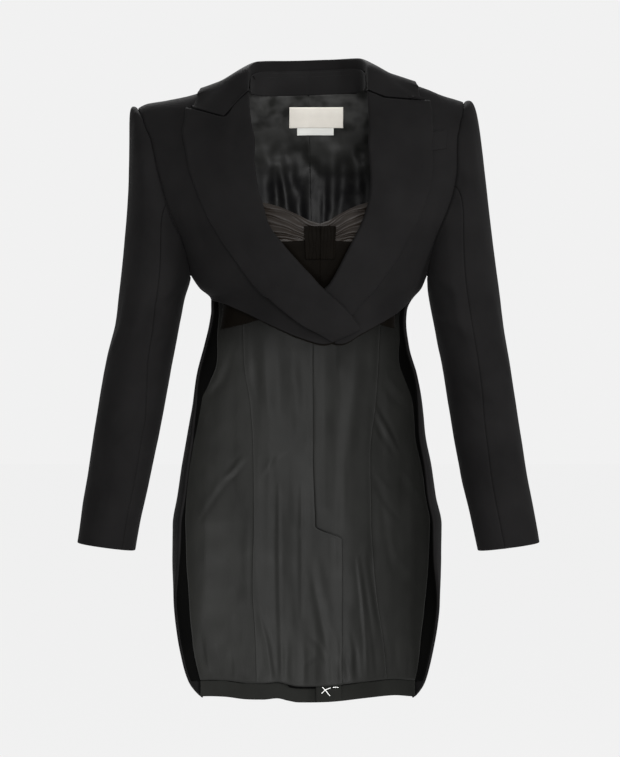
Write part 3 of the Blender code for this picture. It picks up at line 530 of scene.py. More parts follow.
def cloth_material(name, dark, light, rough, spec, sheen=0.0, weave=2200.0, grain=0.00012,
                   slub=(900.0, 60.0), aniso=0.0, weave_bump=0.5, levels=()):
    """Woven cloth: colour varies with the yarns and over larger patches, and
    the weave and its slubs come from bump and roughness. levels paint light
    into the colour: between heights in metres it turns paler (painted sheen)
    or deeper (painted shade), in uneven clouds: none, full, far_full, far_none,
    least cloud and colour."""
    m = bpy.data.materials.new(name)
    m.use_nodes = True
    t = m.node_tree
    bsdf = t.nodes["Principled BSDF"]
    bsdf.inputs["Specular IOR Level"].default_value = spec
    bsdf.inputs["Metallic"].default_value = 0.0
    if sheen:
        bsdf.inputs["Sheen Weight"].default_value = sheen
        bsdf.inputs["Sheen Roughness"].default_value = 0.45
    if aniso:
        bsdf.inputs["Anisotropic"].default_value = aniso
    link = t.links.new
    uv = t.nodes.new("ShaderNodeUVMap")
    uv.uv_map = "cloth"
    place = t.nodes.new("ShaderNodeTexCoord")
    # warp and weft
    warp = node_of(t, "ShaderNodeTexWave", Scale=weave / 6.2832, Distortion=0.6, Detail=1.0)
    warp.bands_direction = "X"
    weft = node_of(t, "ShaderNodeTexWave", Scale=weave / 6.2832, Distortion=0.6, Detail=1.0)
    weft.bands_direction = "Y"
    link(uv.outputs["UV"], warp.inputs["Vector"])
    link(uv.outputs["UV"], weft.inputs["Vector"])
    yarn = t.nodes.new("ShaderNodeMath")
    yarn.operation = "MULTIPLY"
    link(warp.outputs["Fac"], yarn.inputs[0])
    link(weft.outputs["Fac"], yarn.inputs[1])
    # uneven yarn, long along the warp
    stretch = t.nodes.new("ShaderNodeMapping")
    stretch.inputs["Scale"].default_value = (slub[0], slub[1], 1.0)
    link(uv.outputs["UV"], stretch.inputs["Vector"])
    slubs = node_of(t, "ShaderNodeTexNoise", Scale=1.0, Detail=3.0, Roughness=0.6)
    link(stretch.outputs["Vector"], slubs.inputs["Vector"])
    patch = node_of(t, "ShaderNodeTexNoise", Scale=14.0, Detail=4.0, Roughness=0.55)
    link(place.outputs["Object"], patch.inputs["Vector"])
    mixed = t.nodes.new("ShaderNodeMath")
    mixed.operation = "MULTIPLY_ADD"
    link(slubs.outputs["Fac"], mixed.inputs[0])
    mixed.inputs[1].default_value = 0.45
    link(patch.outputs["Fac"], mixed.inputs[2])
    ramp = t.nodes.new("ShaderNodeValToRGB")
    ramp.color_ramp.elements[0].position = 0.40
    ramp.color_ramp.elements[0].color = (*dark, 1.0)
    ramp.color_ramp.elements[1].position = 0.9
    ramp.color_ramp.elements[1].color = (*light, 1.0)
    link(mixed.outputs["Value"], ramp.inputs["Fac"])
    colour_out = ramp.outputs["Color"]
    if levels:
        split = t.nodes.new("ShaderNodeSeparateXYZ")
        link(place.outputs["Object"], split.inputs[0])
        cloud = node_of(t, "ShaderNodeTexNoise", Scale=38.0, Detail=2.0, Roughness=0.5)
        link(place.outputs["Object"], cloud.inputs["Vector"])
    # painted light: each level blends the colour towards a paler painted sheen or a deeper painted shade between its
    # heights
    for none, full, far_full, far_none, least, colour in levels:
        painted_light_amount = None
        for source, low, high in ((split.outputs["Z"], none, full), (split.outputs["Z"], far_none, far_full),
                                  (cloud.outputs["Fac"], least, least + 0.24)):
            ramp_up = t.nodes.new("ShaderNodeMapRange")
            ramp_up.inputs["From Min"].default_value = low
            ramp_up.inputs["From Max"].default_value = high
            link(source, ramp_up.inputs["Value"])
            if painted_light_amount is None:
                painted_light_amount = ramp_up.outputs["Result"]
            else:
                both = t.nodes.new("ShaderNodeMath")
                both.operation = "MULTIPLY"
                link(painted_light_amount, both.inputs[0])
                link(ramp_up.outputs["Result"], both.inputs[1])
                painted_light_amount = both.outputs["Value"]
        blend = t.nodes.new("ShaderNodeMix")
        blend.data_type = "RGBA"
        link(painted_light_amount, blend.inputs[0])
        link(colour_out, blend.inputs[6])
        blend.inputs[7].default_value = (*colour, 1.0)
        colour_out = blend.outputs[2]
    link(colour_out, bsdf.inputs["Base Color"])
    r = t.nodes.new("ShaderNodeMapRange")
    r.inputs["To Min"].default_value = rough - 0.06
    r.inputs["To Max"].default_value = rough + 0.07
    link(slubs.outputs["Fac"], r.inputs["Value"])
    link(r.outputs["Result"], bsdf.inputs["Roughness"])
    height = t.nodes.new("ShaderNodeMath")
    height.operation = "MULTIPLY_ADD"
    link(yarn.outputs["Value"], height.inputs[0])
    height.inputs[1].default_value = weave_bump
    link(slubs.outputs["Fac"], height.inputs[2])
    bump = node_of(t, "ShaderNodeBump", Strength=0.55, Distance=grain)
    link(height.outputs["Value"], bump.inputs["Height"])
    link(bump.outputs["Normal"], bsdf.inputs["Normal"])
    return m


CREPE = cloth_material("black_crepe", (0.0034, 0.0032, 0.0033), (0.0060, 0.0057, 0.0058),
                       0.80, 0.04, sheen=0.006, weave=2400.0, grain=0.00018, slub=(1500.0, 420.0))
# a lighter copy of the black crepe for the collar stand: painted light where light falls on the stand inside the neck
CREPE_PAINTED_LIGHT_STAND = cloth_material("black_crepe_stand_painted_light", (0.0050, 0.0048, 0.0049), (0.0086, 0.0083, 0.0084),
                             0.80, 0.04, sheen=0.006, weave=2400.0, grain=0.00018, slub=(1500.0, 420.0))
# a darker copy of the black crepe for the tail facings: painted shade on the strip along the tail's front edge
CREPE_PAINTED_SHADE = cloth_material("black_crepe_painted_shade", (0.0010, 0.0010, 0.0010), (0.0019, 0.0019, 0.0018),
                          0.88, 0.012, weave=2400.0, grain=0.00018, slub=(1500.0, 420.0))
CREPE_HEM = cloth_material("black_crepe_hem", (0.0078, 0.0080, 0.0072), (0.0112, 0.0114, 0.0104),
                           0.80, 0.04, weave=2400.0, grain=0.00018, slub=(1500.0, 420.0))
# charcoal satin lining whose levels are painted light: a paler painted sheen near the top of the neck round the
# label, and a deeper painted shade lower down between label and bustier
SATIN_PAINTED_LIGHT = cloth_material("charcoal_satin_painted_light", (0.0074, 0.0075, 0.0069), (0.0112, 0.0113, 0.0104),
                       0.43, 0.10, weave=3600.0, grain=0.00004, slub=(2200.0, 50.0), aniso=0.2,
                       levels=((-0.066, -0.030, 0.30, 0.40, 0.36, (0.040, 0.040, 0.039)),
                               (-0.072, -0.112, -0.22, -0.29, 0.22, (0.0034, 0.0033, 0.0036))))
BROWN = cloth_material("brown_satin", (0.0065, 0.0048, 0.0038), (0.0140, 0.0110, 0.0088),
                       0.42, 0.16, weave=3600.0, grain=0.00004, slub=(2200.0, 60.0), aniso=0.3)
# a darker, duller copy of the brown satin for the underbust, band, bridge and hem facing: their own near-black
# colour, partly painted shade where they sit deep under the cups and fronts
BROWN_DARK = cloth_material("brown_satin_panel", (0.0014, 0.0011, 0.0008), (0.0027, 0.0021, 0.0015),
                            0.55, 0.015, weave=3600.0, grain=0.00004, slub=(2200.0, 60.0), aniso=0.3)
LABEL = cloth_material("cream_woven", (0.60, 0.565, 0.51), (0.74, 0.71, 0.65),
                       0.7, 0.3, sheen=0.1, weave=5200.0, grain=0.0001, slub=(1600.0, 700.0))
LABEL_WHITE = cloth_material("white_woven", (0.62, 0.62, 0.59), (0.76, 0.76, 0.73),
                             0.7, 0.3, weave=5200.0, grain=0.0001, slub=(1600.0, 700.0))
THREAD = cloth_material("black_thread", (0.006, 0.006, 0.006), (0.012, 0.012, 0.012),
                        0.6, 0.12, weave=9000.0, grain=0.00005)
THREAD_WHITE = cloth_material("white_thread", (0.70, 0.70, 0.68), (0.86, 0.86, 0.84),
                              0.6, 0.4, weave=9000.0, grain=0.00005)


# ------------------------------------------------ drape shared by layers
def shell_relief(p):
    """Slow unevenness of pressed cloth over interlining."""
    return 0.42 * noise(p, 62.0, 3) + 0.16 * noise(p, 21.0, 5)


def tail_sway(x, z):
    """Soft flutes of the tail, shared by its cloth, facing and lining."""
    grow = ease((-330 - z) / 430)
    wave = (0.9 * np.sin(x / 21.0 + 0.6 + 0.004 * z) + 0.6 * np.sin(x / 11.5 + 2.1)
            + 0.8 * flat_noise(x, z, 38.0, 260.0, 11))
    return 1.7 * grow * wave


FRONT_CREASES = (
    (-1.1, 9, ((-150, -150), (-141, -190), (-128, -226))),
    (0.8, 8, ((-168, -140), (-160, -182), (-150, -222))),
    (-0.9, 9, ((152, -168), (143, -205), (132, -240))),
    (0.8, 8, ((170, -110), (166, -160), (158, -205))),
    (-0.7, 12, ((-120, -262), (-96, -268), (-70, -282))),
    (0.6, 10, ((118, -252), (98, -276), (80, -296))),
)
LAPEL_CREASES = (
    (-1.3, 9, ((-88, -22), (-94, -52), (-102, -92))),
    (0.7, 9, ((-104, -60), (-104, -110), (-94, -150))),
    (-0.7, 10, ((94, -14), (98, -40), (104, -70))),
    (0.6, 12, ((104, -92), (104, -140), (92, -186))),
)


def front_relief(x, z, p):
    return shell_relief(p) + creases(FRONT_CREASES, x, z)


# --------------------------------------------------------------- fronts
def armhole_edge(side, face, z_stop=UNDERARM_Z, z_start=None):
    column = face + ("_left" if side > 0 else "_right")
    levels = [-22, -34, -50, -73, -109, -138, -165, -188, -205, -222, -232, -240]
    sp = 207 if side > 0 else 226
    points = []
    if z_start is None:
        z0 = float(shoulder_z(np.array(side * sp))) - RIDGE
        points.append((float(to_angle(face, side * sp, z0)), z0))
        levels = [z for z in levels if z < z0 - 6]
    else:
        levels = [z_start] + [z for z in levels if z < z_start - 2]
    for z in levels:
        if z >= z_stop:
            angle = float(to_angle(face, side * float(ARMHOLE.at(z, column)), z))
            if z <= UNDERARM_Z:
                angle = side * 90.0
            points.append((angle, z))
    return points


def shoulder_edge(side, face, x0, x1, steps=12):
    points = []
    for k in range(steps + 1):
        x = side * (x0 + (x1 - x0) * k / steps)
        z = float(shoulder_z(np.array(x))) - RIDGE
        points.append((float(to_angle(face, x, z)), z))
    return points


def front_panel(side, opening, hem, name, lift):
    sp = 207 if side > 0 else 226
    top = Edge(shoulder_edge(side, "front", 77, sp))
    last = Edge(armhole_edge(side, "front") + [(side * 90.0, -256), (side * 90.0, WAIST_Z)])
    first = edge_xz("front", opening)
    ends = [(float(to_angle("front", x, z)), z) for x, z in hem]
    bottom = Edge(ends[:-1] + [(side * 90.0, WAIST_Z)])

    def where(u, v):
        inset = 7.0 / 170.0                       # the lapel rolls round this edge
        a, z = coons(top, bottom, first, last, inset + (1 - inset) * u, v)
        return a, under_ridge("front", a, z)

    def place(u, v):
        return form_point("front", *where(u, v))

    u = spread(place, 3.4, (False, True), way=0)
    v = spread(place, 3.4, (True, False), way=1)
    uu, vv = np.meshgrid(u, v, indexing="ij")
    a, z = where(uu, vv)
    z = under_ridge("front", a, z, snap=True)
    p = form_point("front", a, z)
    n = form_normal("front", a, z)
    relief = front_relief(p[..., 0], z, p) + seam_relief(p, (False, True, True, False))
    outer = p + n * (lift(p[..., 0], z) + relief)[..., None]
    outer = turned(outer, n, "foot", 1.6, 6.0)
    h = np.concatenate([n, np.repeat(n[:, -1:], outer.shape[1] - n.shape[1], 1)], 1)
    return cloth(name, outer, SHELL_WALL, CREPE, h * (np.arange(outer.shape[1]) < n.shape[1])[None, :, None],
                 [name])


front_panel(-1, OPENING_RIGHT, HEM_RIGHT, "front_right", overlap_lift)
front_panel(1, OPENING_LEFT, HEM_LEFT, "front_left", lambda x, z: 0.0 * x)


def lapel(side, name, roll, edge, top, lift):
    """The lapel lies on its front from the edge to the roll line, rolls round
    the front's edge there and ends inside."""
    first, last = edge_xz("front", roll), edge_xz("front", edge)
    head = edge_xz("front", top)
    foot = edge_xz("front", (roll[-1], edge[-1]))
    low = -1.9
    radius = (LAPEL_LIFT - low) / 2
    v = spread(lambda u, w: form_point("front", *coons(head, foot, first, last, u, w)), 3.2)
    probe_u, probe_v = np.meshgrid(np.linspace(0, 1, 40), v, indexing="ij")
    probe = form_point("front", *coons(head, foot, first, last, probe_u, probe_v))
    run = np.concatenate([np.zeros((1, len(v))),
                          np.cumsum(np.linalg.norm(np.diff(probe, axis=0), axis=-1), 0)])
    width = run[-1]
    s_rows, h_rows, kind = [], [], []
    for s in (2.6, 1.2):
        s_rows.append(np.full(len(v), radius + s))
        h_rows.append(np.full(len(v), low))
    for phi in np.radians(np.linspace(180, 0, 13)):
        s_rows.append(np.full(len(v), radius * (1 - math.sin(phi))))
        h_rows.append(np.full(len(v), low + radius + radius * math.cos(phi)))
    count = 32
    for k in range(1, count + 1):
        f = k / count
        f = f if f < 0.999 else 1.0
        s_rows.append(radius + (width - radius) * f)
        h_rows.append(LAPEL_LIFT + 0.9 * np.sin(np.pi * min(1, f * 1.5)) * np.ones(len(v))
                      - 0.9 * ease(np.full(len(v), f)))
    s, h = np.stack(s_rows), np.stack(h_rows)
    u = np.stack([np.interp(s[:, j], run[:, j], np.linspace(0, 1, 40)) for j in range(len(v))], 1)
    vv = np.broadcast_to(v, u.shape)
    a, z = coons(head, foot, first, last, u, vv)
    p = form_point("front", a, z)
    n = form_normal("front", a, z)
    flat = ease((s - radius) / 14.0)
    relief = flat * (0.5 * shell_relief(p + 200.0) + creases(LAPEL_CREASES, p[..., 0], z))
    loose = ease((u - 0.35) / 0.65) * ease((-185 - z) / 90) * (1 - ease((-312 - z) / 14))
    h = h + (7.5 if side < 0 else 4.2) * loose
    outer = p + n * (h + lift(p[..., 0], z) + relief)[..., None]
    wall = SHELL_WALL + (LAPEL_WALL - SHELL_WALL) * flat
    hint = n * flat[..., None]
    # allowance of the gorge seam, under the collar's end, as far as the notch
    notch = (110.0 if side < 0 else 103.0)
    k = (ease((notch - np.abs(p[:, 0, 0])) / 5.0) * ease((s[:, 0] - radius) / 6.0))[:, None]
    up = unit(outer[:, 0] - outer[:, 1])
    rows = [outer[:, 0] + up * a * k - n[:, 0] * (b * k + c * (1 - k))
            for a, b, c in ((2.6, 2.7, 0.9), (1.0, 1.7, 0.4))]
    outer = np.concatenate([rows[0][:, None], rows[1][:, None], outer], 1)
    wall = np.concatenate([wall[:, :1]] * 2 + [wall], 1)
    hint = np.concatenate([hint[:, :1] * 0] * 2 + [hint], 1)
    return cloth(name, outer, wall, CREPE, hint, [name])


lapel(-1, "lapel_right", LAPEL_ROLL_RIGHT, LAPEL_EDGE_RIGHT, LAPEL_TOP_RIGHT, overlap_lift)
lapel(1, "lapel_left", LAPEL_ROLL_LEFT, LAPEL_EDGE_LEFT, LAPEL_TOP_LEFT,
      lambda x, z: -LAPEL_LIFT * 0.25 * ease((-262 - z) / 25))


def welt():
    top, foot = edge_xz("front", (WELT[0], WELT[1])), edge_xz("front", (WELT[3], WELT[2]))
    near, far = edge_xz("front", (WELT[0], WELT[3])), edge_xz("front", (WELT[1], WELT[2]))
    uu, vv = np.meshgrid(np.linspace(0, 1, 30), np.linspace(0, 1, 14), indexing="ij")
    a, z = coons(top, foot, near, far, uu, vv)
    p = form_point("front", a, z)
    n = form_normal("front", a, z)
    edge = np.minimum(np.minimum(uu, 1 - uu) * 70, np.minimum(vv, 1 - vv) * 25)
    outer = p + n * (1.75 + shell_relief(p) + 0.35 * ease(edge / 2.5))[..., None]
    cloth("pocket_welt", outer, 1.0, CREPE, n, ["pocket_welt"])


welt()


# ----------------------------------------------------------- back panels
HEM_RIPPLE = Table("x drop", (-180, 0.5), (-103, 0.0), (-70, -2.4), (-48, -1.2), (-31, 2.2),
                   (-20, -1.0), (-9, -3.6), (21, -3.0), (62, 0.0), (104, 2.2), (131, 0.4), (180, 0))


def hem_z(angle):
    x = np.asarray(angle, float) * 2.6
    return -814 + 9 * ease(np.abs(angle) / 55) + HEM_RIPPLE.at(x, "drop") * 0.8


def seam_angle(column, side, z):
    x = BACK_SEAMS.at(z, column)
    return to_angle("back", x if column == "centre" else side * x, z)


def princess_z(side, start=0.0):
    sp = 207 if side > 0 else 226
    top = float(shoulder_z(np.array(side * sp))) - 0.002 + start
    return top + (WAIST_Z - top) * 0.32


def back_outer(side, inset=0.0, start=0.0):
    column = "princess_left" if side > 0 else "princess_right"
    arm = "back_left" if side > 0 else "back_right"
    begin = princess_z(side, start)

    def angle(z):
        high = to_angle("back", side * (ARMHOLE.at(z, arm) - inset), z)
        x = BACK_SEAMS.at(z, column)
        blend = ease((z - begin + 30) / 30)
        low = to_angle("back", side * (x + (ARMHOLE.at(z, arm) - inset - x) * blend), z)
        return np.where(z > begin - 0.01, high, low)
    return angle


def back_top(side):
    sp = 207 if side > 0 else 226
    points = [(float(to_angle("back", side * x, z)), z) for x, z in ((2, 4), (30, 6), (52, 12), (66, 20))]
    return Edge(points + shoulder_edge(side, "back", 77, sp, 8))


def tail_edge_angle(side):
    return lambda z: side * (90.0 + TAIL_EDGE.at(z, "edge"))


SPLIT = 0.36


def hanging(top, inner, outer, foot, square=True):
    """Back pieces: rows blend from the top edge to level rows at the waist,
    and run level below it. Gives (angle, z) of u and q from 0 to 1."""
    def where(u, q):
        head_a, head_z = top.at(u)
        a_first, z_first = top.at(0.0)
        a_last, z_last = top.at(1.0)
        f = np.clip(q / SPLIT, 0, 1)
        f = f * f if square else f
        g = np.clip((q - SPLIT) / (1 - SPLIT), 0, 1)
        low = q > SPLIT
        z0 = np.where(low, WAIST_Z + (foot(a_first) - WAIST_Z) * g, z_first + (WAIST_Z - z_first) * f)
        z1 = np.where(low, WAIST_Z + (foot(a_last) - WAIST_Z) * g, z_last + (WAIST_Z - z_last) * f)
        w = np.where(low, 0.0, 1 - f)
        start = 1 - ease(f / 0.004)
        a0 = np.where(f <= 0, a_first, inner(z0)) * (1 - start) + a_first * start
        a1 = np.where(f <= 0, a_last, outer(z1)) * (1 - start) + a_last * start
        a = a0 + (a1 - a0) * u + (head_a - (a_first + (a_last - a_first) * u)) * w * w
        z = np.where(low, WAIST_Z + (foot(a) - WAIST_Z) * g, head_z + (WAIST_Z - head_z) * f)
        return a, z
    return where


BACK_CREASES = (
    (1.2, 16, ((-60, -330), (-66, -520), (-52, -790))),
    (-1.3, 14, ((-34, -420), (-30, -600), (-36, -800))),
    (1.1, 15, ((58, -350), (62, -560), (70, -800))),
    (-1.2, 13, ((38, -460), (42, -620), (40, -806))),
    (-0.9, 10, ((-120, -262), (-70, -276), (-20, -270))),
    (-0.8, 10, ((20, -268), (66, -278), (118, -264))),
    (0.8, 12, ((-90, -90), (-60, -150), (-40, -220))),
    (0.8, 12, ((90, -90), (64, -150), (44, -220))),
)


def back_relief(p):
    x, z = p[..., 0], p[..., 2]
    return shell_relief(p) + creases(BACK_CREASES, x, z) + tail_sway(x, z)


def back_piece(name, where, seams, step=3.8, edge=None):
    def place(u, v):
        return form_point("back", *where(u, v))
    u = spread(place, step, (seams[0], seams[1]), way=0)
    v = spread(place, step, (seams[2], False), way=1)
    uu, vv = np.meshgrid(u, v, indexing="ij")
    a, z = where(uu, vv)
    z = under_ridge("back", a, z, snap=True)
    p = form_point("back", a, z)
    n = form_normal("back", a, z)
    outer = p + n * (back_relief(p) + seam_relief(p, seams))[..., None]
    outer = turned(outer, n, "foot", 2.0, 0.0)
    m = np.concatenate([n] + [n[:, -1:]] * (outer.shape[1] - n.shape[1]), 1)
    mask = (np.arange(outer.shape[1]) < n.shape[1])[None, :, None] * np.ones(outer.shape[:2])[..., None]
    if edge == "last":
        radius = 2.0 * np.clip(1 - (np.arange(outer.shape[1]) - n.shape[1] + 1) / 7.0, 0.1, 1)
        grown = turned(outer, m, "last", radius[:, None], 0.0)
        extra = grown.shape[0] - outer.shape[0]
        m = np.concatenate([m] + [m[-1:]] * extra, 0)
        mask = np.concatenate([mask, np.zeros((extra,) + mask.shape[1:])], 0)
        outer = grown
    return cloth(name, outer, SHELL_WALL, CREPE, m * mask, [name])


for side, tag in ((-1, "right"), (1, "left")):
    back_piece("back_" + tag, hanging(back_top(side), lambda z, s=side: seam_angle("centre", s, z),
                                      back_outer(side), hem_z), (True, True, True, False))
    arm = Edge(armhole_edge(side, "back", z_start=princess_z(side)))
    back_piece("side_back_" + tag, hanging(arm, back_outer(side), tail_edge_angle(side), hem_z, square=False),
               (True, False, True, False), edge="last")


# ------------------------------------------------------- vent underlap
def underlap():
    uu, vv = np.meshgrid(np.linspace(0, 1, 16), np.linspace(0, 1, 80), indexing="ij")
    x = 11.2 + (VENT_LAP * 0.88 + 1.8) * uu
    z_top = VENT_TOP_Z - 16 * uu
    z = z_top + (hem_z(to_angle("back", x, 0 * x - 814.0)) + 1.0 - z_top) * vv
    a = to_angle("back", x, z)
    p = form_point("back", a, z)
    n = form_normal("back", a, z)
    outer = p - n * (LINING_DROP + 3.4 - tail_sway(x, z))[..., None]
    cloth("vent_underlap", outer, SHELL_WALL, CREPE_HEM, n, ["vent_underlap"])


underlap()


# ---------------------------------------------------- lining and facings
def band_top(angle):
    return hem_z(angle) + 22.5


def lining_centre(z, side):
    x = BACK_SEAMS.at(z, "centre")
    if side < 0:
        x = x + VENT_LAP * ease((VENT_TOP_Z + 2 - z) / 20)
    return to_angle("back", x, z)


def lining_top(side):
    points = [(float(to_angle("back", side * x, z)), z) for x, z in ((2, 9), (30, 9 + side), (50, 9.5 + 1.5 * side), (64, 9.5 + 1.5 * side))]
    sp = 207 if side > 0 else 226
    for k in range(6):
        x = 77 + (sp - 8 - 77) * k / 5
        z = float(shoulder_z(np.array(side * (x + 8 * k / 5)))) - 9.15
        points.append((float(to_angle("back", side * x, z)), z))
    return Edge(points)


# Creases of the lining as the photograph shows them, seen from the front:
# height towards the wearer, half width, points (x, z).
LINING_CREASES = (
    # left hip of the picture
    (2.6, 7, ((-105, -330), (-113, -360), (-125, -382), (-144, -407))),
    (-1.8, 6, ((-118, -352), (-128, -376), (-147, -396))),
    (-1.7, 5, ((-139, -420), (-147, -428), (-142, -442))),
    (-2.0, 4, ((-90, -482), (-106, -501), (-115, -510))),
    (1.9, 4, ((-86, -488), (-104, -507), (-113, -513), (-133, -541), (-150, -568))),
    (1.3, 4, ((-104, -528), (-92, -555), (-80, -571))),
    (-1.3, 4, ((-65, -507), (-48, -482), (-31, -471))),
    # soft pleats under the front
    (1.5, 6, ((-80, -318), (-76, -350), (-70, -400))),
    (-1.5, 6, ((-62, -322), (-60, -370), (-56, -420))),
    (1.2, 8, ((-44, -330), (-42, -380), (-40, -440))),
    (-2.2, 10, ((-28, -340), (-18, -390), (-14, -450))),
    (1.0, 7, ((-8, -350), (-6, -390), (-4, -430))),
    (2.6, 11, ((38, -336), (38, -400), (39, -480), (37, -560))),
    (-3.0, 10, ((70, -330), (66, -380), (60, -440), (56, -480))),
    (1.2, 6, ((11, -390), (12, -440), (11, -500))),
    # right hip of the picture
    (1.7, 5, ((106, -382), (116, -399), (138, -416))),
    (-1.5, 5, ((112, -372), (124, -390), (142, -405))),
    (2.3, 4, ((97, -409), (110, -432), (126, -467))),
    (-2.3, 3.6, ((95, -418), (107, -441), (124, -470))),
    (1.4, 3.4, ((93, -428), (104, -452), (120, -476))),
    (-2.0, 4, ((95, -503), (108, -522), (114, -525))),
    (1.8, 4, ((95, -522), (114, -551), (129, -568))),
    (-2.2, 6, ((133, -501), (147, -518), (160, -538), (168, -560))),
    (1.8, 5, ((103, -547), (112, -599), (118, -640))),
    (-1.8, 6, ((110, -582), (124, -620), (152, -650), (164, -666))),
    # long folds to the hem
    (1.6, 3.6, ((-78, -560), (-80, -640), (-80, -707))),
    (1.7, 3.2, ((-41, -520), (-41, -620), (-40, -690), (-37, -770))),
    (-2.4, 9, ((-28, -650), (-25, -700), (-26, -760))),
    (1.6, 3.6, ((-9, -520), (-9, -600), (-9, -700))),
    (-2.0, 7, ((13, -622), (23, -670), (35, -698))),
    (-2.0, 7, ((20, -674), (37, -728), (46, -760))),
    (1.8, 5, ((6, -640), (18, -710), (26, -740))),
    (-1.9, 2.6, ((68, -620), (75, -674), (80, -734), (82, -786))),
    (1.8, 4, ((83, -610), (95, -682), (110, -750))),
    (1.5, 3, ((74, -620), (86, -700), (96, -780))),
    # fan of ease at the hem
    (1.6, 4, ((-131, -738), (-126, -762), (-122, -786))),
    (-1.4, 4, ((-143, -730), (-138, -760), (-132, -786))),
    (1.4, 4, ((-150, -720), (-146, -750), (-138, -780))),
    (-1.8, 3.4, ((-92, -721), (-88, -748), (-86, -786))),
    (1.5, 3.4, ((-104, -700), (-100, -740), (-98, -786))),
    (-1.8, 4, ((-66, -700), (-56, -740), (-50, -784))),
    (1.8, 4, ((-65, -690), (-54, -730), (-44, -786))),
    (-1.4, 3, ((-7, -765), (2, -760), (12, -755))),
    (1.5, 4, ((2, -728), (16, -738), (26, -762))),
    (-2.0, 4, ((52, -750), (54, -770), (56, -786))),
    (1.5, 4, ((60, -720), (66, -750), (70, -786))),
    (-1.4, 4, ((100, -740), (104, -765), (104, -786))),
    (1.4, 4, ((122, -730), (124, -760), (130, -786))),
    (-1.2, 4, ((-72, -752), (-70, -766), (-74, -782))),
)
# Upper back lining, seen through the neck.
NECK_CREASES = (
    (-4.2, 7.4, ((-46, -70), (-44, -108), (-43, -152), (-42, -186))),
    (-5.0, 9.5, ((-38, -44), (-27, -84), (-14, -148), (-8, -190))),
    (3.0, 5.4, ((-38, -84), (-34, -110), (-28, -160))),
    (2.8, 10.8, ((-66, -40), (-62, -70), (-58, -120), (-54, -170))),
    (2.6, 8.1, ((-10, -56), (-14, -76), (-12, -110))),
    (2.4, 6.8, ((3, -98), (2, -130), (0, -160), (-2, -196))),
    (-4.4, 9.5, ((58, -36), (52, -70), (47, -100), (43, -150), (42, -190))),
    (-3.6, 6.8, ((76, -66), (78, -90), (82, -120), (80, -160))),
    (3.0, 8.1, ((34, -50), (34, -80), (36, -110), (32, -170))),
    (-3.0, 4.1, ((24, -90), (23, -120), (22, -155), (22, -192))),
    (-2.4, 6.8, ((-8, -100), (-10, -140), (-10, -180))),
    (2.6, 8.1, ((56, -10), (58, -24), (54, -40))),
    (1.8, 6.8, ((66, -60), (64, -100), (62, -150))),
    (-1.6, 8.1, ((-30, -2), (0, -6), (30, -3))),
    (2.0, 6.8, ((-60, -12), (-48, -22), (-36, -30))),
    (-2.0, 8.1, ((-96, -60), (-92, -110), (-80, -160))),
    (2.0, 9.5, ((110, -60), (104, -110), (92, -160))),
)


def lining_relief(x, z):
    """Towards the wearer. The lining is cut with ease, so it always ripples."""
    low = ease((-300 - z) / 60)
    soft = (0.9 * flat_noise(x, z, 22.0, 170.0, 21) + 0.5 * flat_noise(x, z, 11.0, 90.0, 23)
            + 0.35 * flat_noise(x, z, 16.0, 22.0, 29))
    hem = ease((-700 - z) / 70) * (0.55 * flat_noise(x, z, 6.5, 60.0, 31)
                                   + 0.3 * np.sin(x / 3.6 + 3 * flat_noise(x, z, 40.0, 60.0, 37)))
    high = 1 - ease((-210 - z) / 60)
    folds = (0.8 * flat_noise(x, z, 27.0, 80.0, 41) + 0.8 * flat_noise(x, z, 11.0, 15.0, 43)
             + 4.4 * flat_noise(x, z, 17.0, 19.0, 45) * ease((z + 120) / 60))
    # it lies flat behind the label
    label = np.exp(-((np.abs((x - 11) / 42)) ** 6 + (np.abs((z + 22) / 26)) ** 6))
    upper = high * (folds * 0.8 + creases(NECK_CREASES, x, z) * 0.56) * (1 - label)
    sway = np.clip(soft * (0.3 + 0.7 * low) + hem + upper
                   + low * creases(LINING_CREASES, x, z) * 0.5, -3.6, 9.0)
    return sway + 0.4


def seamed_lining(name, where, over, seams):
    def place(u, v):
        return form_point("back", *where(u, v))
    u = spread(place, 2.1, (seams[0], seams[1]), way=0)
    v = spread(place, 3.0, (False, False), way=1)
    uu, vv = np.meshgrid(u, v, indexing="ij")
    a, z = where(uu, vv)
    p = form_point("back", a, z)
    n = form_normal("back", a, z)
    x = p[..., 0]
    sewn = np.zeros(x.shape)
    for d, s in zip(border_distance(p), seams + (False, False)):
        if s:
            deep = 0.15 + 0.85 * ease((-250 - z) / 50)
            sewn += deep * (-0.3 * np.clip(1 - d / 1.5, 0, 1) ** 2 + 0.12 * np.exp(-((d - 3.4) / 2.4) ** 2))
    edge = ease(np.minimum(border_distance(p)[3], 12.0) / 12.0)
    top_edge = ease(border_distance(p)[2] / 14.0)
    drop = LINING_DROP + LINING_WALL + over(x, z) - tail_sway(x, z)
    outer = p - n * (drop + lining_relief(x, z) * (0.35 + 0.65 * edge) * (0.08 + 0.92 * top_edge) + sewn)[..., None]
    # the lining's satin carries painted sheen near the neck and painted shade below it
    return cloth(name, outer, LINING_WALL, SATIN_PAINTED_LIGHT, -n, [name])


def lining_edge_angle(side, ahead=0.0):
    column = "lining_left" if side > 0 else "lining_right"
    return lambda z: side * (90.0 + TAIL_EDGE.at(z, column) + ahead)


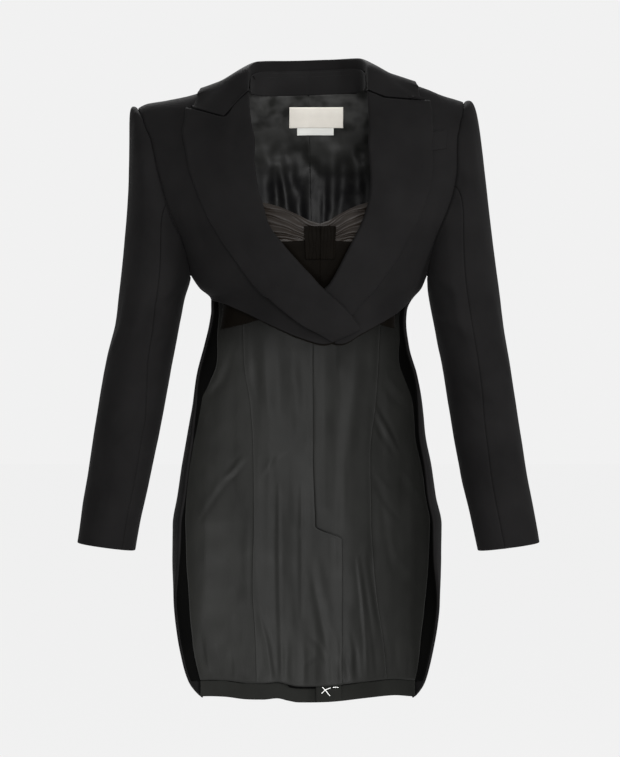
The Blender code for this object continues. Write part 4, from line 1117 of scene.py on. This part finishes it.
for side, tag in ((-1, "right"), (1, "left")):
    if side < 0:
        def over(x, z):
            return 6.6 * ease((x + 60) / 60) * ease((-440 - z) / 134)
    else:
        def over(x, z):
            return 0.0 * x
    seamed_lining("lining_" + tag, hanging(lining_top(side), lambda z, s=side: lining_centre(z, s),
                                           back_outer(side, 8.0, -9.0), band_top, square=False), over, (True, True))
    start = princess_z(side, -9.0)
    arm_points = armhole_edge(side, "back", z_start=start)
    count = len(arm_points) - 1
    inset = [(a - side * (12.0 * (k / count) ** 2 + 3.0 * (k > 0)), z - 7 * (k > 0))
             for k, (a, z) in enumerate(arm_points)]
    inset[0] = (float(back_outer(side, 8.0, -9.0)(np.array(start))), start)
    rim_of = lining_edge_angle(side)
    seamed_lining("lining_side_" + tag,
                  hanging(Edge(inset), back_outer(side, 8.0, -9.0),
                          lambda z, e=rim_of: e(np.minimum(z, WAIST_Z)), band_top, square=False),
                  lambda x, z: 0.0 * x, (True, False))


def facing(side, tag):
    inner, outer_edge = lining_edge_angle(side, 0.8), tail_edge_angle(side)
    uu, vv = np.meshgrid(np.linspace(0, 1, 18), np.linspace(0.0, 1, 150), indexing="ij")
    z = WAIST_Z + (-782.0 - WAIST_Z) * (0.02 + 0.98 * vv)
    a0, a1 = inner(z), outer_edge(z) - side * 1.2
    a = a0 + (a1 - a0) * uu
    p = form_point("back", a, z)
    n = form_normal("back", a, z)
    drop = LINING_DROP + (FACING_DROP - LINING_DROP) * ease(uu * 4 / 3)
    relief = 0.5 * noise(p, 34.0, 51)
    outer = p - n * (drop + SHELL_WALL + relief - back_relief(p))[..., None]
    # the facing takes the darker crepe, which is painted shade
    cloth("tail_facing_" + tag, outer, SHELL_WALL, CREPE_PAINTED_SHADE, -n, ["tail_facing_" + tag])


def hem_band(side, tag):
    uu, vv = np.meshgrid(np.linspace(0, 1, 100), np.linspace(0, 1, 12), indexing="ij")
    x_start = float(BACK_SEAMS.at(-800, "centre")) + (-0.2 if side < 0 else 0.6)
    a0 = float(to_angle("back", x_start, -800))
    a = a0 + (side * 56.3 - a0) * uu
    xa = form_point("back", a, 0 * a - 800.0)[..., 0]
    top_z = (band_top(a) - 1.0 - 3.0 * ease((xa + 29) / 3) * (1 - ease((xa - 45) / 3))
             + 0.6 * flat_noise(a * 2.6, a * 0, 14.0, 10.0, 61))
    z = top_z + (hem_z(a) + 1.3 - top_z) * vv
    p = form_point("back", a, z)
    n = form_normal("back", a, z)
    relief = 0.5 * flat_noise(p[..., 0], z, 16.0, 40.0, 63) + 0.5 * np.sin(vv * np.pi) * 0.6
    outer = p - n * (FACING_DROP + SHELL_WALL + relief - back_relief(p))[..., None]
    cloth("hem_band_" + tag, outer, SHELL_WALL, CREPE_HEM, -n, ["hem_band_" + tag])


for side, tag in ((-1, "right"), (1, "left")):
    facing(side, tag)
    hem_band(side, tag)


# --------------------------------------------------------------- bustier
def bust_form(x, z):
    a = to_angle("front", x, z)
    full = 0.0
    for centre in (-54, 66):
        d = ((x - centre) / 62) ** 2 + ((z + 186) / 42) ** 2
        full = full + 4.5 * np.exp(-d * 1.6)
    n = form_normal("front", a, z)
    return form_point("front", a, z) + n * (full - BUST_DROP)[..., None], n


def bust_piece(side, tag, name, upper, lower, relief, material, step=(1.4, 1.1)):
    wide, tall = round(150 / step[0]), round(float(BUST.at(60, upper) - BUST.at(60, lower)) / step[1])
    uu, vv = np.meshgrid(np.linspace(0, 1, wide), np.linspace(0, 1, max(8, tall)), indexing="ij")
    d = uu * 150.0
    z = BUST.at(d, upper) + (BUST.at(d, lower) - BUST.at(d, upper)) * vv
    half = FORM.at(z, "left" if side > 0 else "right")
    x = BUST_CENTRE + side * uu * (0.955 * half - side * BUST_CENTRE)
    p, n = bust_form(x, z)
    outer = p + n * relief(uu, vv, x, z)[..., None]
    cloth(name + "_" + tag, outer, BUST_WALL, material, n, [name + "_" + tag])


def ruched(uu, vv, x, z):
    """Gathers pinched into the bridge, fanning out over the cup."""
    away = np.clip(uu * 150 / 26, 0, 1)
    count = 2.9 + 2.0 * ease(uu * 4.0)
    warp = 0.34 * flat_noise(uu * 150, vv * 30, 22.0, 9.0, 71) + 0.07 * flat_noise(uu * 150, vv * 30, 9.0, 5.0, 73)
    phase = vv * count + warp + 0.9 * uu
    wave = phase - np.floor(phase)
    fold = np.where(wave < 0.62, np.sin(wave / 0.62 * np.pi / 2), np.cos((wave - 0.62) / 0.38 * np.pi / 2)) ** 1.3
    size = 2.6 + 1.3 * flat_noise(uu * 150, vv * 30, 22.0, 7.0, 77)
    hem = (ease(vv / 0.12) * 0.85 + 0.15) * (1 - 0.6 * ease((vv - 0.9) / 0.1))
    return (0.35 + 0.65 * away) * size * fold * hem + 0.9 * np.exp(-(vv / 0.10) ** 2) - 0.4


def smooth_panel(uu, vv, x, z):
    return 0.35 * flat_noise(x, z, 14.0, 26.0, 79) - 0.8 * np.clip(1 - vv * 60, 0, 1) - 0.8 * np.clip(1 - (1 - vv) * 60, 0, 1)


def band_relief(uu, vv, x, z):
    return 0.5 * flat_noise(x, z, 9.0, 14.0, 83) + 0.35 * np.sin(vv * np.pi)


for side, tag in ((-1, "right"), (1, "left")):
    bust_piece(side, tag, "cup", "top", "cup_foot", ruched, BROWN, (0.9, 0.55))
    # underbust and band take the dark satin, partly painted shade
    bust_piece(side, tag, "underbust", "cup_foot", "band_top", smooth_panel, BROWN_DARK, (2.2, 2.2))
    bust_piece(side, tag, "bust_band", "band_top", "band_foot", band_relief, BROWN_DARK, (1.6, 1.2))


def bridge():
    uu, vv = np.meshgrid(np.linspace(0, 1, 72), np.linspace(0, 1, 30), indexing="ij")
    x = BUST_CENTRE + (-20.5 + 41 * uu) * (1 - 0.06 * vv)
    z = -178 + (-222 + 178) * vv
    p, n = bust_form(x, z)
    rib = 0.55 * np.abs(np.sin(uu * 27 + 1.2 * flat_noise(x, z, 5.0, 14.0, 87)))
    seam = -1.2 * np.exp(-((uu - 0.5) / 0.022) ** 2)
    side_edge = 0.7 * (np.exp(-(uu / 0.05) ** 2) + np.exp(-((1 - uu) / 0.05) ** 2))
    outer = p + n * (3.0 + rib + seam + side_edge + 1.4 * np.exp(-(vv / 0.12) ** 2))[..., None]
    cloth("bust_bridge", outer, 1.1, BROWN_DARK, n, ["bust_bridge"])


bridge()


def hem_lining(side, tag, hem, lift, start):
    """The satin facing of the front's hem; its edge shows below the hem."""
    line = Edge([(float(to_angle("front", x, z)), z) for x, z in hem])
    uu, vv = np.meshgrid(np.linspace(start, 0.93, 110), np.linspace(0, 1, 9), indexing="ij")
    a, z = line.at(uu)
    z = z - 1.5 + 0.5 * flat_noise(a * 2.4, z, 18.0, 40.0, 67) + 14.0 * vv
    p = form_point("front", a, z)
    n = form_normal("front", a, z)
    depth = 4.4 + 0.9 * ease(vv / 0.2) - lift(p[..., 0], z)
    cloth("hem_lining_" + tag, p - n * depth[..., None], 0.7, BROWN_DARK, n)


hem_lining(-1, "right", HEM_RIGHT, overlap_lift, 0.14)
hem_lining(1, "left", HEM_LEFT, lambda x, z: 0.0 * x, 0.0)


# ---------------------------------------------------------------- collar
def collar_parts(s):
    side = np.where(s > 0, 1.0, -1.0)
    out = []
    for part in ("roll", "edge", "foot"):
        if part == "foot":
            x, y, z = (STAND_FOOT.at(np.abs(s), c) for c in "xyz")
        else:
            x, y, z = (COLLAR.at(np.abs(s), part + "_" + c) for c in "xyz")
        x = x * side
        out.append(np.stack([x, y, z + COLLAR_LEAN * x], -1))
    return out


def clear_of_form(p, lift):
    x, y, z0 = p[..., 0], p[..., 1], p[..., 2]
    ridge = shoulder_z(x)
    z = np.minimum(z0, ridge - 0.5)
    result = p.copy()
    for face in ("front", "back"):
        here = (y < 0) if face == "front" else (y >= 0)
        a = to_angle(face, x, z)
        base = form_point(face, a, z)
        normal = form_normal(face, a, z)
        depth = np.abs(base[..., 1]) / np.maximum(0.05, shoulder_roll(x, z))
        r = np.minimum(1.0, np.abs(y) / np.maximum(depth, 1e-6))
        top = ridge - SHOULDER_ROUND * (1 - np.sqrt(1 - r * r)) + lift
        up = np.stack([x, y, top], -1)
        out = base + normal * lift
        above = z0 >= top
        inside = ((p - base) * normal).sum(-1) < lift
        near_up = np.linalg.norm(up - p, axis=-1) < np.linalg.norm(out - p, axis=-1)
        pick = np.where((near_up | (z0 > ridge - 0.5))[..., None], up, out)
        keep = above | (~inside & ~(z0 > ridge - 0.5))
        got = np.where(keep[..., None], p, pick)
        result = np.where(here[..., None], got, result)
    return result


def smooth_rows(p, times, hold=1):
    """Evens out small steps across the collar; the outer rows stay."""
    for _ in range(times):
        q = p.copy()
        q[1:-1, hold:-hold] = (p[1:-1, hold:-hold] * 2 + p[2:, hold:-hold] + p[:-2, hold:-hold]
                               + p[1:-1, hold + 1:p.shape[1] - hold + 1] + p[1:-1, hold - 1:-hold - 1]) / 6
        p = q
    return p


def inward_of(s, roll):
    """Towards the neck: eased off round its sides, and in full."""
    inward = unit(np.stack([-roll[..., 0], 10 - roll[..., 1], 0 * roll[..., 0]], -1))
    return inward * (1 - 0.6 * ease((np.abs(s) - 1.2) / 0.8))[:, None, None], inward


def stand_point(s, q, proud):
    """A point on the stand's inner face, q from 0 at the roll to 1 at its foot."""
    roll, edge, foot = (r[:, None, :] for r in collar_parts(s))
    eased, full = inward_of(s, roll)
    return (roll + (foot - roll) * q + eased * (5.0 + 1.4 * q) + full * (1.9 + proud)
            + np.array([0, 0, -1.0]) * 2.6 * (1 - q))


def collar():
    s = np.concatenate([np.linspace(-4, -1.3, 74), np.linspace(-1.27, 1.27, 60), np.linspace(1.3, 4, 74)])
    s = np.where(np.abs(s) < 1e-6, 1e-6, s)
    f = np.concatenate([np.linspace(0, 0.62, 14), np.linspace(0.66, 1.0, 11)])
    roll, edge, foot = (q[:, None, :] for q in collar_parts(s))
    ff = f[None, :, None]
    out = np.stack([roll[..., 0] * 0.8, (roll[..., 1] - 15) * 0.9, 0 * roll[..., 0]], -1)
    ctrl = roll + unit(out) * 9.0 + np.array([0, 0, 3.0])
    p = edge * (1 - ff) ** 2 + ctrl * 2 * ff * (1 - ff) + roll * ff * ff
    p = clear_of_form(p, 5.4)
    near = ease((np.abs(s) - 3.3) / 0.7)[:, None, None]
    side = np.where(s > 0, 1, -1)
    gx = np.where((side > 0)[:, None], np.interp(f, FALL, [g[0] for g in GORGE[1]])[None],
                  np.interp(f, FALL, [g[0] for g in GORGE[-1]])[None])
    gz = np.where((side > 0)[:, None], np.interp(f, FALL, [g[1] for g in GORGE[1]])[None],
                  np.interp(f, FALL, [g[1] for g in GORGE[-1]])[None])
    ga = to_angle("front", gx, gz)
    g = form_point("front", ga, gz) + form_normal("front", ga, gz) * 5.4
    p = p * (1 - near) + g * near
    # round the roll and down inside as far as its seam on the stand
    inward = inward_of(s, roll)[0]
    down = np.array([0, 0, -1.0])
    rows, ends = [], []
    for k, (inn, dn) in enumerate(((1.3, 0.5), (2.6, 1.4), (3.8, 2.9), (4.6, 4.8))):
        rows.append(roll + inward * inn + down * dn)
        ends.append(((77.6, 76.7, 76.3, 76.6)[k], (4.6, 3.2, 1.6, 0.0)[k]))
    for k in range(7):
        q = 0.12 + 0.30 * k / 6
        rows.append(roll + (foot - roll) * q + inward * (5.0 + 1.4 * q) + down * 2.6 * (1 - q))
        ends.append((77.6 + 1.1 * k, -1.4 - 0.08 * k))
    wrap = np.concatenate(rows, 1)
    ex = side[:, None] * np.array([e[0] for e in ends])[None]
    ez = np.full(ex.shape, 2.0)
    ea = to_angle("front", ex, ez)
    end = form_point("front", ea, ez) + form_normal("front", ea, ez) * np.array([e[1] for e in ends])[None, :, None]
    wrap = wrap * (1 - near) + end * near
    p = np.concatenate([p, wrap], 1)
    p = smooth_rows(p, 3)
    relief = 0.35 * noise(p, 30.0, 91)
    n = surface_normals(p)
    hint = p - np.array([0.0, 10.0, -60.0])
    hint = hint / np.linalg.norm(hint, axis=-1, keepdims=True)
    mask = np.concatenate([np.ones(len(f)), np.zeros(wrap.shape[1])])[None, :, None]
    if (n * hint * mask).sum() < 0:
        n = -n
    outer = p + n * relief[..., None]
    depth = np.concatenate([1 - f, np.zeros(wrap.shape[1])])[None, :]
    wall = 1.15 + (LAPEL_WALL - 1.15) * ease(depth / 0.35) * np.ones(outer.shape[:2])
    cloth("collar_fall", outer, wall, CREPE, n * mask, ["collar_fall"])

    s = np.linspace(-3.7, 3.7, 130)
    s = np.where(np.abs(s) < 1e-6, 1e-6, s)
    roll, edge, foot = (q[:, None, :] for q in collar_parts(s))
    p = stand_point(s, np.linspace(0.27, 1.0, 18)[None, :, None], 0.0)
    inward = inward_of(s, roll)[1]
    p = p + inward * (0.25 * noise(p, 26.0, 93))[..., None]
    # the stand takes the lighter crepe, which is painted light
    cloth("collar_stand", p, SHELL_WALL, CREPE_PAINTED_LIGHT_STAND, np.broadcast_to(inward, p.shape),
          ["collar_stand"])


collar()


# ---------------------------------------------------------------- labels
def tag_piece(name, x0, x1, z0, z1, proud, material, wave):
    uu, vv = np.meshgrid(np.linspace(0, 1, 44), np.linspace(0, 1, 18), indexing="ij")
    x, z = x0 + (x1 - x0) * uu, z0 + (z1 - z0) * vv
    a = to_angle("back", x, z)
    p = form_point("back", a, z)
    n = form_normal("back", a, z)
    bow = wave * (0.5 * np.sin(uu * 5.1 + 0.7) * vv + 0.3 * flat_noise(x, z, 16.0, 16.0, 97))
    outer = p - n * (LINING_DROP + 2.6 + proud + 0.8 + bow)[..., None]
    return cloth(name, outer, 0.45, material, -n, [name])


tag_piece("neck_label", -26, 48, -4, -33, 1.0, LABEL, 0.7)
tag_piece("size_tab", -15, 35, -33.6, -44, 0.2, LABEL_WHITE, 0.9)


# --------------------------------------------------------------- sleeves
LOOPS = {}


def armhole_loop(side, angle):
    out = np.zeros(angle.shape + (3,))
    for face, pick in (("front", angle >= 0), ("back", angle < 0)):
        if (side, face) not in LOOPS:
            edge = Edge(armhole_edge(side, face))
            points = form_point(face, *edge.at((np.arange(241) / 240) ** 2.2))
            run = np.concatenate([[0], np.cumsum(np.linalg.norm(np.diff(points, axis=0), axis=1))])
            LOOPS[(side, face)] = (points, run / run[-1])
        points, run = LOOPS[(side, face)]
        t = np.abs(angle) / 180.0
        got = np.stack([np.interp(t, run, points[:, k]) for k in range(3)], -1)
        out = np.where(pick[..., None], got, out)
    return out


def armhole_allowance(side, angle, deep, far):
    """Points on the sleeve's seam allowance, under the body panel."""
    out = np.zeros(angle.shape + (3,))
    for face, pick in (("front", angle >= 0), ("back", angle < 0)):
        edge = Edge(armhole_edge(side, face))
        a, z = edge.at((np.arange(241) / 240) ** 2.2)
        points, normal = form_point(face, a, z), form_normal(face, a, z)
        run = LOOPS[(side, face)][1]
        inward = unit(np.cross(normal, np.gradient(points, axis=0))) * (-side if face == "front" else side)
        row = points - normal * deep + inward * far
        t = np.abs(angle) / 180.0
        got = np.stack([np.interp(t, run, row[:, k]) for k in range(3)], -1)
        out = np.where(pick[..., None], got, out)
    return out


def sleeve_section(table, side, angle, z):
    t = np.radians(angle)
    out = np.sign(np.cos(t)) * np.abs(np.cos(t)) ** 0.94 * table.at(z, "half_width")
    fwd = np.sign(np.sin(t)) * np.abs(np.sin(t)) ** 0.94 * table.at(z, "half_depth")
    return np.stack([side * (table.at(z, "x") + out), table.at(z, "y") - fwd, z + out * CUFF_SLOPE], -1)


def sleeve_grid(table, side, angle, cap, arm):
    """angle has a row of angles for each row of cap, then of arm."""
    n_cap = len(cap)
    ac, aa = angle[:, :n_cap], angle[:, n_cap:]
    loop = armhole_loop(side, ac)
    top = sleeve_section(table, side, ac, np.full(ac.shape, -275.0))
    below = sleeve_section(table, side, ac, np.full(ac.shape, -285.0))
    down = unit(below - top)
    t = np.abs(ac) / 180.0
    rise = np.radians(34 - 100 * ease(t * 1.3) - 22 * t)
    forward = -0.34 * np.sin(np.radians(ac)) * ease(1 - np.abs(t - 0.45) * 1.6)
    start = unit(np.stack([side * np.cos(rise), forward, np.sin(rise)], -1))
    span = np.linalg.norm(top - loop, axis=-1)
    c0 = loop + start * (22 * (1 - ease(t * 2.2)) + 6 + 0.18 * span * ease(t * 1.6))[..., None]
    c1 = top - down * (0.56 * span + 0.30 * span * (1 - ease(t * 2.0)))[..., None]
    first = loop + start * 0.4
    f = cap[None, :, None]
    g = 1 - f
    head = first * g ** 3 + c0 * 3 * g * g * f + c1 * 3 * g * f * f + top * f ** 3
    z = -275 + (table.first + 275) * arm[None, :] * np.ones(aa.shape)
    return np.concatenate([head, sleeve_section(table, side, aa, z)], 1)


# Folds of the sleeves: (degrees round the sleeve, z). 0 is outside, 90 front.
SLEEVE_CREASES_RIGHT = (
    (-1.6, 9, ((96, -250), (84, -290), (70, -330))),
    (1.4, 9, ((112, -262), (104, -310), (92, -352))),
    (-1.2, 8, ((60, -300), (40, -340), (22, -372))),
    (1.3, 10, ((44, -250), (36, -330), (30, -400))),
    (-1.3, 9, ((112, -396), (88, -418), (58, -436))),
    (1.2, 9, ((120, -420), (96, -446), (66, -470))),
    (-1.0, 9, ((40, -450), (48, -510), (52, -570))),
    (0.9, 10, ((78, -480), (80, -530), (84, -590))),
    (-1.2, 9, ((-40, -380), (-70, -420), (-110, -440))),
    (1.1, 9, ((-30, -410), (-64, -452), (-108, -470))),
    (-1.0, 10, ((-60, -240), (-66, -300), (-60, -350))),
    (-3.2, 7, ((134, -262), (114, -274), (96, -282))),
    (-1.4, 8, ((128, -318), (108, -330), (84, -336))),
)
SLEEVE_CREASES_LEFT = (
    (-1.4, 9, ((84, -240), (78, -290), (66, -340))),
    (1.5, 8, ((100, -250), (96, -300), (88, -350))),
    (-1.2, 8, ((62, -320), (44, -356), (26, -382))),
    (1.2, 10, ((40, -240), (34, -320), (26, -400))),
    (-1.5, 8, ((112, -380), (86, -404), (54, -420))),
    (1.3, 8, ((116, -404), (92, -430), (60, -452))),
    (-1.0, 9, ((46, -460), (52, -520), (56, -580))),
    (0.9, 10, ((76, -486), (80, -540), (82, -596))),
    (-1.2, 9, ((-44, -376), (-72, -412), (-112, -436))),
    (1.1, 9, ((-34, -404), (-66, -446), (-108, -466))),
    (-1.0, 10, ((-62, -236), (-64, -296), (-58, -346))),
    (-3.0, 7, ((140, -246), (120, -258), (98, -268))),
    (-2.8, 8, ((138, -300), (114, -314), (92, -322))),
)


def sleeve(side, table, tag, rows):
    cap = np.linspace(0, 1, 44) ** 1.25
    cap = np.unique(np.concatenate([[0.0, 0.004, 0.009, 0.016], cap[cap > 0.022]]))
    arm = np.linspace(0, 1, 92)[1:]
    seam_at = table.at(np.concatenate([np.full(len(cap), -275.0), -275 + (table.first + 275) * arm]), "front_seam")
    for kind, count in (("top", 70), ("under", 34)):
        f = np.linspace(-1, 1, count + 1)
        tuck = np.array([0.006, 0.014, 0.026]) * (1.0 if kind == "top" else 2.0)
        f = np.unique(np.concatenate([f[(f > -0.96) & (f < 0.96)], -1 + tuck, 1 - tuck, [-1, 1]]))
        if kind == "top":
            end = np.where(f[:, None] > 0, seam_at[None], -SLEEVE_BACK_SEAM)
            angle = np.sign(f)[:, None] * end * (np.abs(f) ** 1.3)[:, None]
        else:
            u = (f[:, None] + 1) / 2
            angle = seam_at[None] + (360 + SLEEVE_BACK_SEAM - seam_at[None]) * u
        angle = np.where(angle > 180, angle - 360, angle)
        p = sleeve_grid(table, side, angle, cap, arm)
        n = surface_normals(p)
        zc = np.clip(p[..., 2], table.first, -275)
        away = np.stack([p[..., 0] - side * table.at(zc, "x"), p[..., 1] - table.at(zc, "y"), 0 * zc], -1)
        if (n * away).sum() < 0:
            n = -n
        below = ease((-60 - p[..., 2]) / 60)
        d = border_distance(p)
        relief = (0.7 * shell_relief(p) + below * creases(rows, angle * 0.92, p[..., 2])
                  + 0.5 * noise(p, 34.0, 17 + side) * below)
        # fullness eased into the armhole
        pucker = 0.28 * np.exp(-d[2] / 9.0) * np.sin(angle * 0.55 + 3 * noise(p, 30.0, 19)) * (np.abs(angle) < 100)
        relief = relief + pucker + seam_relief(p, (True, True, True, False))
        outer = turned(p + n * relief[..., None], n, "foot", 1.55, 26.0)
        head = angle[:, :1]
        allow = [armhole_allowance(side, head, deep, far) for deep, far in ((4.0, 4.5), (3.2, 2.0), (2.4, 0.2), (1.4, -0.3))]
        m = np.concatenate([n[:, :1]] * 4 + [n, np.repeat(n[:, -1:], outer.shape[1] - n.shape[1], 1)], 1)
        mask = np.zeros(m.shape[:2])
        mask[:, 12:4 + n.shape[1]] = 1
        mask = mask[..., None]
        outer = np.concatenate(allow + [outer], 1)
        name = "sleeve_%s_%s" % (kind, tag)
        cloth(name, outer, SHELL_WALL, CREPE, m * mask, [name])


sleeve(-1, SLEEVE_RIGHT, "right", SLEEVE_CREASES_RIGHT)
sleeve(1, SLEEVE_LEFT, "left", SLEEVE_CREASES_LEFT)


# --------------------------------------------------------------- threads
def thread(name, lines, radius, material):
    """Short stitches, each a round bar with pointed ends along its points."""
    verts, faces = [], []
    for line in lines:
        line = np.asarray(line, float)
        tangent = unit(np.gradient(line, axis=0))
        side = unit(np.cross(tangent, np.array([0.13, 0.4, 0.9])))
        up = np.cross(tangent, side)
        base = len(verts)
        k = 6
        size = np.ones(len(line))
        size[0] = size[-1] = 0.45
        for i in range(len(line)):
            for j in range(k):
                t = 2 * math.pi * j / k
                verts.append(tuple((line[i] + radius * size[i] * (math.cos(t) * side[i] + math.sin(t) * up[i])) * MM))
        for i in range(len(line) - 1):
            for j in range(k):
                a, b = base + i * k + j, base + i * k + (j + 1) % k
                faces.append((a, b, b + k, a + k))
        faces.append(tuple(base + j for j in range(k))[::-1])
        faces.append(tuple(base + (len(line) - 1) * k + j for j in range(k)))
    mesh = bpy.data.meshes.new(name)
    mesh.from_pydata(verts, [], faces)
    layer = mesh.uv_layers.new(name="cloth")
    for loop in mesh.loops:
        co = mesh.vertices[loop.vertex_index].co
        layer.data[loop.index].uv = (co.x, co.z)
    mesh.polygons.foreach_set("use_smooth", [True] * len(mesh.polygons))
    mesh.materials.append(material)
    obj = bpy.data.objects.new(name, mesh)
    bpy.context.scene.collection.objects.link(obj)
    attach(obj, "root")
    return obj


def stitch_run(points, length, gap, dip=0.25):
    """Stitches along a dense line of points."""
    points = np.asarray(points, float)
    run = np.concatenate([[0], np.cumsum(np.linalg.norm(np.diff(points, axis=0), axis=1))])
    out, s = [], 0.0
    while s + length < run[-1]:
        t = np.linspace(s, s + length, 4)
        out.append(np.stack([np.interp(t, run, points[:, k]) for k in range(3)], -1))
        s += length + gap
    return out


def stand_stitches():
    s = np.linspace(-1.72, 1.73, 120)
    lines = []
    for q in (0.33, 0.45):
        lines += stitch_run(stand_point(s, np.full((1, 1, 1), q), 0.15)[:, 0], 2.6, 0.9)
    thread("collar_stand_stitches", lines, 0.24, THREAD)


stand_stitches()


def back_line(points, drop):
    """Points over the vent's underlap from (x, z) points."""
    pts = np.asarray(points, float)
    t = np.linspace(0, 1, 60)
    s = np.linspace(0, 1, len(pts))
    x, z = np.interp(t, s, pts[:, 0]), np.interp(t, s, pts[:, 1])
    a = to_angle("back", x, z)
    p = form_point("back", a, z)
    return p - form_normal("back", a, z) * (drop - tail_sway(x, z))[..., None]


def tacking():
    """White tacking threads left in the hem at the vent."""
    lines = [back_line(p, LINING_DROP + 3.4 + SHELL_WALL + 0.5) for p in (
        ((19, -804), (24, -799), (32, -796)), ((20, -795), (25, -800), (31, -807)),
        ((35, -795.5), (39, -795), (43, -795.5)))]
    thread("tacking_threads", lines, 0.5, THREAD_WHITE)


tacking()


# ----------------------------------------------------- stage and lights
def stage():
    mesh = bpy.data.meshes.new("studio_floor")
    side, low = 40.0, -1.40
    mesh.from_pydata([(-side, -side, low), (side, -side, low), (side, side, low), (-side, side, low)],
                     [], [(0, 1, 2, 3)])
    m = bpy.data.materials.new("pale_floor")
    m.use_nodes = True
    bsdf = m.node_tree.nodes["Principled BSDF"]
    bsdf.inputs["Base Color"].default_value = (0.30, 0.30, 0.30, 1)
    bsdf.inputs["Roughness"].default_value = 1.0
    bsdf.inputs["Specular IOR Level"].default_value = 0.0
    bsdf.inputs["Emission Color"].default_value = (1, 1, 1, 1)
    bsdf.inputs["Emission Strength"].default_value = 0.605
    mesh.materials.append(m)
    floor = bpy.data.objects.new("studio_floor", mesh)
    bpy.context.scene.collection.objects.link(floor)


def area_light(name, where, target, size, power, spread_angle=180.0, colour=(1, 1, 1)):
    data = bpy.data.lights.new(name, "AREA")
    data.shape = "RECTANGLE"
    data.size, data.size_y = size
    data.energy = power
    data.color = colour
    data.spread = math.radians(spread_angle)
    obj = bpy.data.objects.new(name, data)
    from mathutils import Vector
    obj.location = where
    obj.rotation_euler = (Vector(target) - Vector(where)).to_track_quat("-Z", "Y").to_euler()
    bpy.context.scene.collection.objects.link(obj)


stage()
world = bpy.data.worlds.new("studio")
bpy.context.scene.world = world
world.use_nodes = True
world.node_tree.nodes["Background"].inputs["Color"].default_value = (1, 1, 1, 1)
world.node_tree.nodes["Background"].inputs["Strength"].default_value = 0.88
area_light("key_right", (3.3, -2.0, 0.45), (0, 0, -0.35), (0.8, 1.1), 95)
area_light("front", (0.4, -3.3, 0.15), (0, 0, -0.25), (1.1, 1.1), 84)
area_light("front_low", (0.1, -1.6, -1.25), (0, 0.08, -0.03), (0.6, 0.3), 10)

area_light("back_high", (-0.3, 3.0, 1.9), (0, 0, -0.45), (1.6, 0.8), 15, 60.0)

camera_data = bpy.data.cameras.new("camera")
camera_data.lens, camera_data.sensor_width = 178.7, 36.0
camera_data.clip_end = 50.0
camera = bpy.data.objects.new("camera", camera_data)
camera.location = (0.00266, -5.0, -0.3757)
camera.rotation_euler = (math.pi / 2, 0.0, 0.0)
bpy.context.scene.collection.objects.link(camera)
bpy.context.scene.camera = camera
bpy.context.scene.view_settings.view_transform = "Standard"
